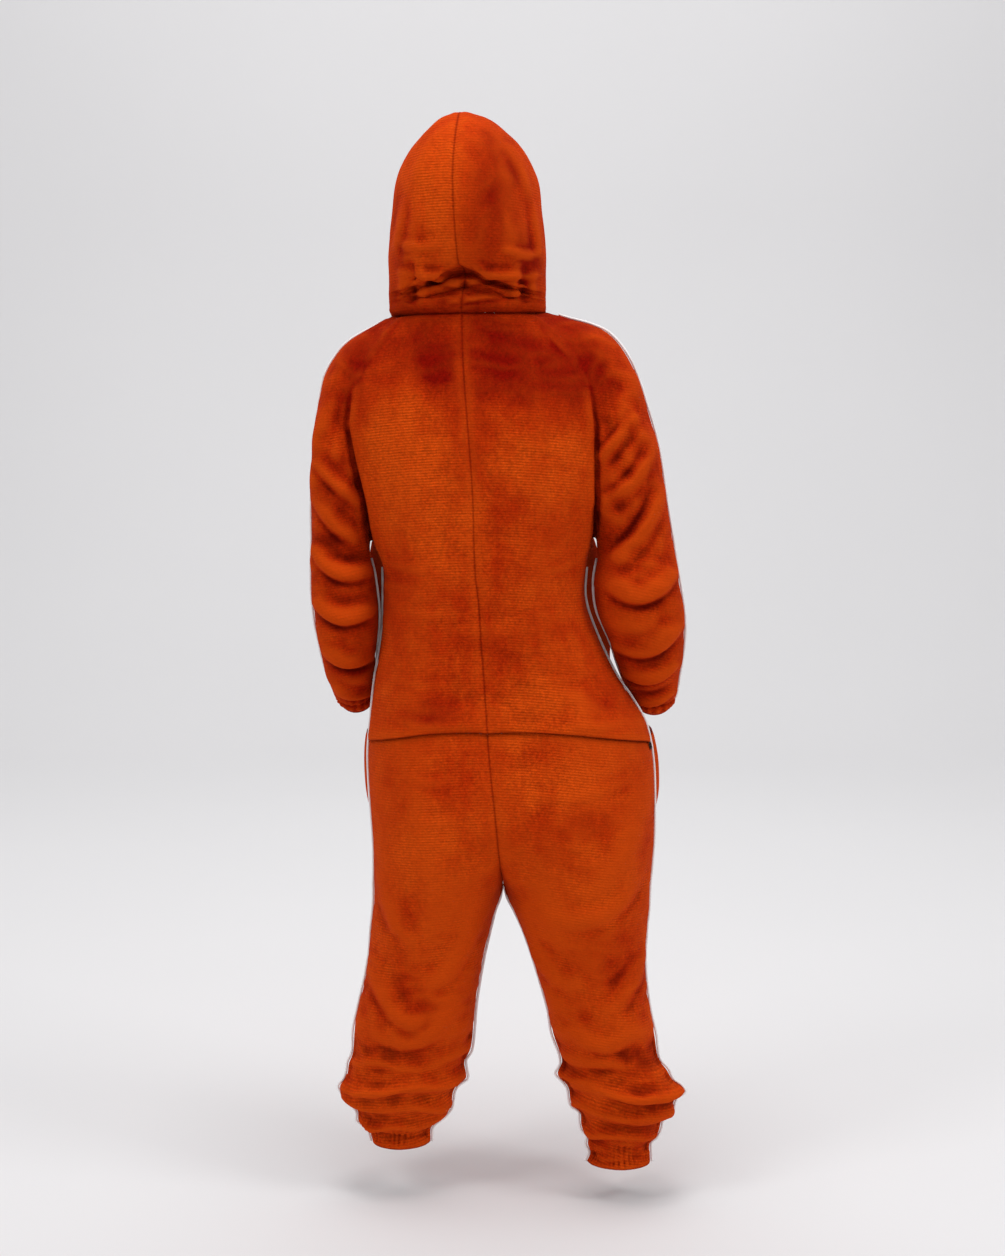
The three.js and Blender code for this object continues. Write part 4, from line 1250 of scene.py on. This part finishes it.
    def close_seams(self, mesh: bpy.types.Mesh, points: np.ndarray, normals: np.ndarray) -> np.ndarray:
        """Spreads the border by a hair, so that neighbours meet in their seam.

        Args:
            mesh: the fine skin.
            points: its dressed points, in millimetres.
            normals: their normals.

        Returns:
            The points with the border moved outward in the panel's own plane.
        """
        ends, border = self.edges_of(mesh)
        inside = np.zeros_like(points)
        flat = ends[~border]
        np.add.at(inside, flat[:, 0], points[flat[:, 1]] - points[flat[:, 0]])
        np.add.at(inside, flat[:, 1], points[flat[:, 0]] - points[flat[:, 1]])
        rim = np.unique(ends[border])
        pairs = ends[border]
        corner = np.bincount(flat.ravel(), minlength=len(points)) == 0
        for here, there in (pairs.T, pairs[:, ::-1].T):
            at_corner = corner[here]
            np.add.at(inside, here[at_corner], points[there[at_corner]] - points[here[at_corner]])
        away = -inside[rim]
        along = np.zeros_like(points)
        chord = points[pairs[:, 1]] - points[pairs[:, 0]]
        chord /= np.linalg.norm(chord, axis=1, keepdims=True)
        np.add.at(along, pairs[:, 0], chord)
        np.add.at(along, pairs[:, 1], chord)
        along = along[rim]
        runs_on, at_corners = 1.6, 1.5  # two chords' sum on a smooth border; a corner's extra spread
        straight = np.linalg.norm(along, axis=1, keepdims=True)
        along *= (straight > runs_on) * ~corner[rim][:, None] / np.maximum(straight, 1e-6)
        for axis in (normals[rim], along):
            away -= axis * np.sum(away * axis, axis=1)[:, None]
        length = np.linalg.norm(away, axis=1, keepdims=True)
        moved = points.copy()
        at_neck = (points[rim, 2] > NECK_LOW) & (np.hypot(points[rim, 0], points[rim, 1]) < NECK_LOOP)
        spread = np.where(at_neck & (points[rim, 2] < 0.0), self.neck_spread, self.spread)[:, None]
        spread[corner[rim]] *= at_corners
        moved[rim] += spread * away / np.maximum(length, 1e-6) * (length > 1e-3)
        return moved

    def edge_distance(self, mesh: bpy.types.Mesh, points: np.ndarray) -> np.ndarray:
        """Measures how far each point lies from the panel's own edge.

        Args:
            mesh: the fine skin.
            points: its points, in millimetres.

        Returns:
            The distances.
        """
        ends, on_border = self.edges_of(mesh)
        border = np.unique(ends[on_border])
        tree = kdtree.KDTree(len(border))
        for index in border:
            tree.insert(points[index], int(index))
        tree.balance()
        return np.array([tree.find(p)[2] for p in points])

    def rise(self, points: np.ndarray, normals: np.ndarray, sleeves: np.ndarray) -> np.ndarray:
        """Adds up creases, rolls, gathers and small wrinkles.

        Args:
            points: the skin's points, in millimetres.
            normals: its outward normals.
            sleeves: 1 on the sleeves.

        Returns:
            How far each point moves out.
        """
        back = smooth(normals[:, 1], *TURNED)
        front = smooth(-normals[:, 1], *TURNED)
        if self.facing is Facing.HEAD:
            return back * Creases(HOOD_BACK, HOOD_GAIN).heights(points) + small_wrinkles(points, "hood")
        body = 1 - sleeves
        total = sleeves * back * Creases(SLEEVE_BACK, SLEEVE_GAIN).heights(points)
        total += body * back * Creases(BODY_BACK).heights(points)
        total += sleeves * front * Creases(SLEEVE_FRONT, SLEEVE_GAIN).heights(points)
        total += body * front * Creases(BODY_FRONT).heights(points)
        total += back * arm_crease(points)
        total += ankle_rolls(points)
        for casing in CASINGS:
            total += casing.heights(points)
        legs = smooth(points[:, 2], *LEGS_BEGIN)
        total += sleeves * small_wrinkles(points, "sleeves")
        total += legs * small_wrinkles(points, "legs")
        total += body * (1 - legs) * small_wrinkles(points, "body")
        return total

    def wall(self, outer: np.ndarray, normals: np.ndarray, mesh: bpy.types.Mesh) -> bpy.types.Object:
        """Closes the skin to a wall of cloth.

        Args:
            outer: the outer side's points.
            normals: its outward normals.
            mesh: the fine skin, for its faces.

        Returns:
            The wall as an object.
        """
        faces = [tuple(p.vertices) for p in mesh.polygons]
        count = len(outer)
        seen: dict = {}
        for face in faces:
            for a, b in zip(face, face[1:] + face[:1]):
                if (b, a) in seen:
                    del seen[(b, a)]
                else:
                    seen[(a, b)] = True
        inner = outer - normals * CLOTH
        sides = [(b, a, a + count, b + count) for a, b in seen]
        turned = [tuple(i + count for i in reversed(face)) for face in faces]
        thing = new_object(self.name + "_cloth", np.vstack([outer, inner]), faces + turned + sides)
        border = {frozenset(pair) for pair in seen}
        border |= {frozenset((a + count, b + count)) for a, b in seen}
        for edge in thing.data.edges:
            if frozenset(edge.vertices) in border:
                edge.use_edge_sharp = True
        return thing

    def build(self, plush: bpy.types.Material) -> None:
        """Args:
            plush: its material.
        """
        mesh = self.refine(self.skin())
        points = vertex_points(mesh)
        normals = vertex_normals(mesh)
        edge = self.edge_distance(mesh, points)
        sleeves = sleeve_share(points)
        if self.facing is Facing.HEAD:
            sleeves = np.zeros(len(points))
        away = smooth(edge, 1.0, 12.0)
        rise = (1.0 - self.calm) * away * self.rise(points, normals, sleeves)
        dip = self.seam_dip * bell(edge, 0.0, self.seam_reach)
        outer = points + normals * rise[:, None] - seam_direction(points, sleeves) * dip[:, None]
        if self.facing is Facing.FRONT:
            outer[:, 0] += fuller_front(points)
        set_points(mesh, outer)
        settled = vertex_normals(mesh)
        # this fold measure drives the plush's painted fold shade and painted crest highlight
        ridge = self.hollowness(mesh, outer, settled)
        outer = self.close_seams(mesh, outer, settled)
        thing = self.wall(outer, settled, mesh)
        cloth = thing.data
        # the distance to the edge drives the plush's painted seam shade
        kept = {"nap": nap_map(points, sleeves), "course": courses(points), "ridge": ridge, "seam": edge}
        for name, values in kept.items():
            store(cloth, name, np.concatenate([values, values]))
        cloth.materials.append(plush)
        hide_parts(self.name)
        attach(thing, "root")
        log.info("%s: %d faces, skin %.3f m2", self.name, len(cloth.polygons),
                 sum(p.area for p in mesh.polygons))
        bpy.data.meshes.remove(mesh)


@dataclass
class UpperBack:
    """The two halves of the upper back, each cut in one with the back of its sleeve."""

    flat: tuple = (0.62, 0.80)
    area: float = 0.29

    def build(self, plush: bpy.types.Material) -> None:
        """Builds both halves."""
        for side in ("left", "right"):
            Panel(f"upper_back_{side}", Facing.BACK, self.flat, self.area).build(plush)


@dataclass
class SeatAndLegs:
    """The seat and the backs of the legs, from the waist seam to the gathered hems."""

    flat: tuple = (0.36, 0.86)
    area: float = 0.22

    def build(self, plush: bpy.types.Material) -> None:
        """Builds both sides."""
        for side in ("left", "right"):
            Panel(f"seat_and_leg_{side}", Facing.BACK, self.flat, self.area, held="gathered").build(plush)


@dataclass
class Fronts:
    """The two fronts, each from the neckline to the hem with the front of its sleeve."""

    flat: tuple = (0.62, 1.62)
    area: float = 0.48

    def build(self, plush: bpy.types.Material) -> None:
        """Builds both fronts."""
        for side in ("left", "right"):
            Panel(f"front_{side}", Facing.FRONT, self.flat, self.area, levels=2).build(plush)


@dataclass
class Hood:
    """The hood's two halves and its front band."""

    flat: tuple = (0.36, 0.44)
    area: float = 0.118
    band: tuple = (0.045, 0.80)

    def build(self, plush: bpy.types.Material) -> None:
        """Builds the halves and the band.

        Args:
            plush: their material.
        """
        for side in ("left", "right"):
            Panel(f"hood_{side}", Facing.HEAD, self.flat, self.area).build(plush)
        Panel("hood_front_band", Facing.HEAD, self.band, self.band[0] * self.band[1], levels=2,
              calm=0.6, seam_dip=0.8).build(plush)


@dataclass
class FrontTrim:
    """The button placket and the patch pockets."""

    placket: tuple = (0.04, 0.62)
    pocket: tuple = (0.17, 0.17)

    def build(self, plush: bpy.types.Material) -> None:
        """Builds the placket and both pockets.

        Args:
            plush: their material.
        """
        Panel("front_placket", Facing.FRONT, self.placket, self.placket[0] * self.placket[1],
              held="laid", levels=2, calm=1.0, seam_dip=1.0, seam_reach=3.5,
              rests_on=("front_left_cloth",)).build(plush)
        for side in ("left", "right"):
            Panel(f"pocket_{side}", Facing.FRONT, self.pocket, self.pocket[0] * self.pocket[1],
                  held="hung", calm=1.0, seam_dip=1.2,
                  rests_on=(f"front_{side}_cloth",)).build(plush)


# Trimmings


@dataclass
class Piping:
    """Round white piping laid in the seams."""

    nodes: tuple = ("overarm_piping_left", "overarm_piping_right", "underarm_piping_left",
                    "underarm_piping_right", "side_piping_left", "side_piping_right",
                    "inseam_piping", "hood_piping")
    radius: float = 2.1
    sides: int = 10
    step: float = 4.0
    sink: float = 0.7
    width: float = 3.2

    def build(self, satin: bpy.types.Material) -> None:
        """Lays a round cord along each piping solid.

        Args:
            satin: its material.
        """
        for node in self.nodes:
            path = smooth_path(self.spine(node), self.step)
            points, faces = tube(path, self.radius, self.sides)
            thing = new_object(node + "_cord", points, faces)
            thing.data.materials.append(satin)
            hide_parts(node)
            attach(thing, "root")
            log.info("%s: %d sections", node, len(path))

    def spine(self, node: str) -> np.ndarray:
        """Finds the middle line of a piping solid, sunk a little towards its seam.

        Args:
            node: the solid's name.

        Returns:
            The line's points, in millimetres.
        """
        work = bmesh.new()
        work.from_mesh(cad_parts[node].data)
        bmesh.ops.remove_doubles(work, verts=work.verts, dist=WELD)
        caps = [f for f in work.faces if all(len(v.link_edges) == 4 for v in f.verts)]
        ring = list(caps[0].verts)
        seen = set(ring)
        line = []
        while ring:
            places = [np.array(v.co) / MM for v in ring]
            middle = sum(places) / len(places)
            if len(places) == 3:
                spans = [abs(np.linalg.norm(places[(k + 1) % 3] - places[(k + 2) % 3]) - self.width)
                         for k in range(3)]
                foot = places[int(np.argmin(spans))]
                middle = middle + self.sink * (foot - middle) / np.linalg.norm(foot - middle)
            line.append(middle)
            following = {e.other_vert(v) for v in ring for e in v.link_edges} - seen
            seen |= following
            ring = list(following)
        work.free()
        return np.array(line)


@dataclass
class Buttons:
    """Six plain four-hole buttons with a raised rim, sewn on with thread."""

    count: int = 6
    hole: float = 1.3
    hole_spacing: float = 2.7
    drill: float = 8.0
    sides: int = 40
    profile: tuple = ((11.6, -2.0), (12.8, -1.0), (13.0, 0.4), (12.4, 1.7), (11.4, 2.0),
                      (10.2, 1.7), (9.4, 0.7), (8.0, 0.3))
    thread: float = 0.42
    strands_apart: float = 0.9

    def build(self, plastic: bpy.types.Material, thread: bpy.types.Material) -> None:
        """Builds each button on its solid's place.

        Args:
            plastic: the discs' material.
            thread: of the sewing.
        """
        for k in range(self.count):
            node = f"button_{k + 1}"
            solid = vertex_points(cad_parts[node].data)
            middle = 0.5 * (solid.min(axis=0) + solid.max(axis=0))
            disc = self.disc(f"{node}_disc", plastic)
            sewing = self.sewing(f"{node}_thread", thread)
            for thing in (disc, sewing):
                stand(thing.data, middle, thin_axis(solid, -1.0))
                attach(thing, "root")
            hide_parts(node)
            log.info("%s: placed", node)

    def disc(self, name: str, plastic: bpy.types.Material) -> bpy.types.Object:
        """Turns the button's profile and pierces its four holes.

        Args:
            name: the disc's name.
            plastic: its material.

        Returns:
            The disc, about the origin.
        """
        points = []
        for radius, z in self.profile:
            for k in range(self.sides):
                angle = 2 * math.pi * k / self.sides
                points.append((radius * math.cos(angle), radius * math.sin(angle), z))
        disc = new_object(name, np.array(points), ring_faces(len(self.profile), self.sides))
        cutters = [self.pin(f"{name}_cutter_{k}", k) for k in range(4)]
        for cutter in cutters:
            cut = disc.modifiers.new("hole", "BOOLEAN")
            cut.operation = "DIFFERENCE"
            cut.object = cutter
            cut.solver = "EXACT"
        seen = disc.evaluated_get(bpy.context.evaluated_depsgraph_get())
        disc.data = bpy.data.meshes.new_from_object(seen)
        disc.modifiers.clear()
        for cutter in cutters:
            bpy.data.objects.remove(cutter)
        disc.data.materials.clear()
        disc.data.materials.append(plastic)
        disc.data.shade_smooth()
        disc.data.set_sharp_from_angle(angle=math.radians(50))
        return disc

    def pin(self, name: str, corner: int) -> bpy.types.Object:
        """Makes the round pin that pierces one of the four holes.

        Args:
            name: the pin's name.
            corner: the hole's number, from 0 to 3.

        Returns:
            The pin.
        """
        angle = math.pi / 4 + corner * math.pi / 2
        x, y = self.hole_spacing * math.cos(angle), self.hole_spacing * math.sin(angle)
        path = np.array([(x, y, share * self.drill) for share in (-0.5, 0.0, 0.5)])
        points, faces = tube(path, self.hole, 16)
        return new_object(name, points, faces)

    def sewing(self, name: str, thread: bpy.types.Material) -> bpy.types.Object:
        """Lays two crossing pairs of strands over the button's middle.

        Args:
            name: the thread's name.
            thread: its material.

        Returns:
            The strands, about the origin.
        """
        points: list = []
        faces: list = []
        for start in (0, 1):
            for aside in (-0.5 * self.strands_apart, 0.5 * self.strands_apart):
                angle = math.pi / 4 + start * math.pi / 2
                ray = np.array([math.cos(angle), math.sin(angle), 0.0])
                across = np.array([-ray[1], ray[0], 0.0]) * aside
                reach = self.hole_spacing
                heights = (-1.0, 0.7, 1.0 + 0.3 * start, 0.7, -1.0)
                knots = np.array([ray * reach * share + across + [0, 0, z]
                                  for share, z in zip((-1.0, -0.7, 0.0, 0.7, 1.0), heights)])
                strand, sides = tube(smooth_path(knots, 0.6), self.thread, 8)
                faces += [tuple(i + len(points) for i in f) for f in sides]
                points += list(strand)
        thing = new_object(name, np.array(points), faces)
        thing.data.materials.append(thread)
        return thing


@dataclass
class SeatZip:
    """The seat zip under the lip of the upper back: its tape, coil and slider."""

    pitch: float = 2.6
    tape_knots: int = 24
    tooth: tuple = (1.5, 1.2, 2.6)
    length: float = 11.0
    width: float = 9.0

    def build(self, tape: bpy.types.Material, metal: bpy.types.Material) -> None:
        """Dresses the tape and builds the coil and the slider.

        Args:
            tape: the woven material.
            metal: the slider's material.
        """
        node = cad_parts["seat_zip_tape"]
        node.data.materials.clear()
        node.data.materials.append(tape)
        self.slider(metal)
        self.coil(tape)

    def slider(self, metal: bpy.types.Material) -> None:
        """Builds the slider: a waisted body with a bridge and a pull folded under the lip.

        Args:
            metal: its material.
        """
        node = "seat_zip_slider"
        solid = vertex_points(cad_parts[node].data)
        work = bmesh.new()
        for centre, size, round_off in (
            ((0, 0, -1.0), (self.length, self.width, 1.3), 0.5),  # lower plate
            ((0, 0, 0.9), (self.length, self.width * 0.92, 1.1), 0.45),  # upper plate
            ((0, 0, 0.0), (2.4, 2.4, 2.2), 0.2),  # post between them
            ((0, 0, 1.8), (self.length * 0.62, 1.8, 0.9), 0.35),  # bridge
            ((4.4, 0, 1.75), (4.6, 3.6, 0.7), 0.3),  # pull, folded down
        ):
            made = bmesh.ops.create_cube(work, size=1.0)["verts"]
            for v in made:
                v.co = Vector(tuple(c + p * s for c, p, s in zip(centre, v.co, size)))
            edges = list({e for v in made for e in v.link_edges})
            bmesh.ops.bevel(work, geom=edges, offset=round_off, segments=3, affect="EDGES", profile=0.6)
        mesh = bpy.data.meshes.new(node + "_body")
        work.to_mesh(mesh)
        work.free()
        mesh.shade_smooth()
        mesh.set_sharp_from_angle(angle=math.radians(45))
        thing = bpy.data.objects.new(node + "_body", mesh)
        bpy.context.scene.collection.objects.link(thing)
        mesh.transform(Matrix.Scale(MM, 4))
        stand(mesh, solid.mean(axis=0), thin_axis(solid, 1.0))
        mesh.materials.append(metal)
        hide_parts(node)
        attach(thing, "root")
        log.info("slider: placed")

    def coil(self, tape: bpy.types.Material) -> None:
        """Sets the zip's small teeth along the tape, under the lip.

        Args:
            tape: their material.
        """
        points = vertex_points(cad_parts["seat_zip_tape"].data)
        order = np.argsort(points[:, 0])
        bins = np.array_split(points[order], self.tape_knots)
        knots = np.array([b.mean(axis=0) for b in bins])
        path = smooth_path(knots, self.pitch)
        out = np.array([0.0, 1.2, 0.0])  # the teeth stand out of the tape
        corners = [(x, y, z) for x in (-0.5, 0.5) for y in (-0.5, 0.5) for z in (-0.5, 0.5)]
        sides = [(0, 1, 3, 2), (4, 6, 7, 5), (0, 4, 5, 1), (2, 3, 7, 6), (0, 2, 6, 4), (1, 5, 7, 3)]
        verts: list = []
        faces: list = []
        for k, spot in enumerate(path):
            lean = 0.5 if k % 2 else -0.5
            base = spot + out + np.array([0.0, 0.0, lean])
            start = len(verts)
            for corner in corners:
                verts.append(base + np.array(corner) * np.array(self.tooth))
            faces += [tuple(i + start for i in side) for side in sides]
        thing = new_object("seat_zip_coil", np.array(verts), faces, smooth_shading=False)
        thing.data.materials.append(tape)
        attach(thing, "root")
        log.info("zip coil: %d teeth", len(path))


# Studio


@dataclass
class Studio:
    """The plain pale studio with the photo's camera and its soft light."""

    floor: float = -1.500
    width: float = 9.0
    near: float = 7.0
    far: float = -4.2
    bend: float = 2.2
    height: float = 5.0
    camera: tuple = (-0.056, 3.450, -0.160)
    pitch: float = 6.3
    lens: float = 60.19
    sensor: float = 36.0
    air: tuple = (0.93, 0.94, 0.96, 1.0)
    air_strength: float = 0.52
    lamps: tuple = (
        ("key", (2.6, 2.2, 2.2), (0.0, 0.0, -0.5), 1.2, 34.0),
        ("fill", (-2.9, 1.6, 1.8), (0.0, 0.0, -0.5), 1.2, 38.0),
        ("top", (0.0, 0.6, 3.2), (0.0, 0.0, -0.5), 1.6, 62.0),
        ("backdrop", (0.0, -2.2, 4.2), (0.0, -6.0, 0.5), 4.0, 130.0),
    )

    def build(self, paper: bpy.types.Material) -> None:
        """Builds the backdrop, the lights and the camera.

        Args:
            paper: the backdrop's material.
        """
        self.backdrop(paper)
        self.lights()
        self.view()
        log.info("studio: ready")

    def backdrop(self, paper: bpy.types.Material) -> None:
        """Sweeps the paper from the floor up behind the garment.

        Args:
            paper: its material.
        """
        profile = [(self.near, self.floor)]
        for k in range(25):
            angle = 0.5 * math.pi * k / 24
            profile.append((self.far - self.bend * math.sin(angle),
                            self.floor + self.bend * (1 - math.cos(angle))))
        profile.append((self.far - self.bend, self.floor + self.height))
        points = [(x, y, z) for y, z in profile for x in (-self.width, self.width)]
        faces = [(2 * i, 2 * i + 2, 2 * i + 3, 2 * i + 1) for i in range(len(profile) - 1)]
        thing = new_object("studio_floor", np.array(points) / MM, faces)
        thing.data.materials.append(paper)

    def lights(self) -> None:
        """Hangs large soft lamps round the camera."""
        for name, place, aim, size, power in self.lamps:
            self.lamp(name, Vector(place), Vector(aim), size, power)
        world = bpy.data.worlds.new("studio_air")
        world.use_nodes = True
        sky = world.node_tree.nodes["Background"]
        sky.inputs["Color"].default_value = self.air
        sky.inputs["Strength"].default_value = self.air_strength
        bpy.context.scene.world = world

    def lamp(self, name: str, place: Vector, aim: Vector, size: float, power: float) -> None:
        """Adds one square lamp.

        Args:
            name: its name.
            place: where it hangs, in metres.
            aim: the point that it looks at.
            size: its side, in metres.
            power: in watts.
        """
        data = bpy.data.lights.new(name, "AREA")
        data.shape = "SQUARE"
        data.size = size
        data.energy = power
        thing = bpy.data.objects.new(name, data)
        thing.location = place
        thing.rotation_euler = (aim - place).to_track_quat("-Z", "Y").to_euler()
        bpy.context.scene.collection.objects.link(thing)

    def view(self) -> None:
        """Sets the camera at the photo's place, level and lens."""
        data = bpy.data.cameras.new("photo_camera")
        data.sensor_fit = "VERTICAL"
        data.sensor_height = self.sensor
        data.lens = self.lens
        data.clip_end = 60.0
        thing = bpy.data.objects.new("photo_camera", data)
        thing.location = self.camera
        thing.rotation_euler = (math.radians(90.0 - self.pitch), 0.0, math.radians(180.0))
        bpy.context.scene.collection.objects.link(thing)
        bpy.context.scene.camera = thing
        bpy.context.scene.view_settings.view_transform = "Standard"


def main() -> None:
    """Builds every sub-assembly in the order of sewing."""
    plush = PlushFinish().material()
    satin = SatinFinish().material()
    UpperBack().build(plush)
    SeatAndLegs().build(plush)
    Fronts().build(plush)
    Hood().build(plush)
    FrontTrim().build(plush)
    Piping().build(satin)
    Buttons().build(PlasticFinish().material(), ThreadFinish("button_thread").material())
    SeatZip().build(ThreadFinish().material(), EnamelFinish().material())
    Studio().build(StudioFinish().material())


if __name__ == "__main__":
    main()
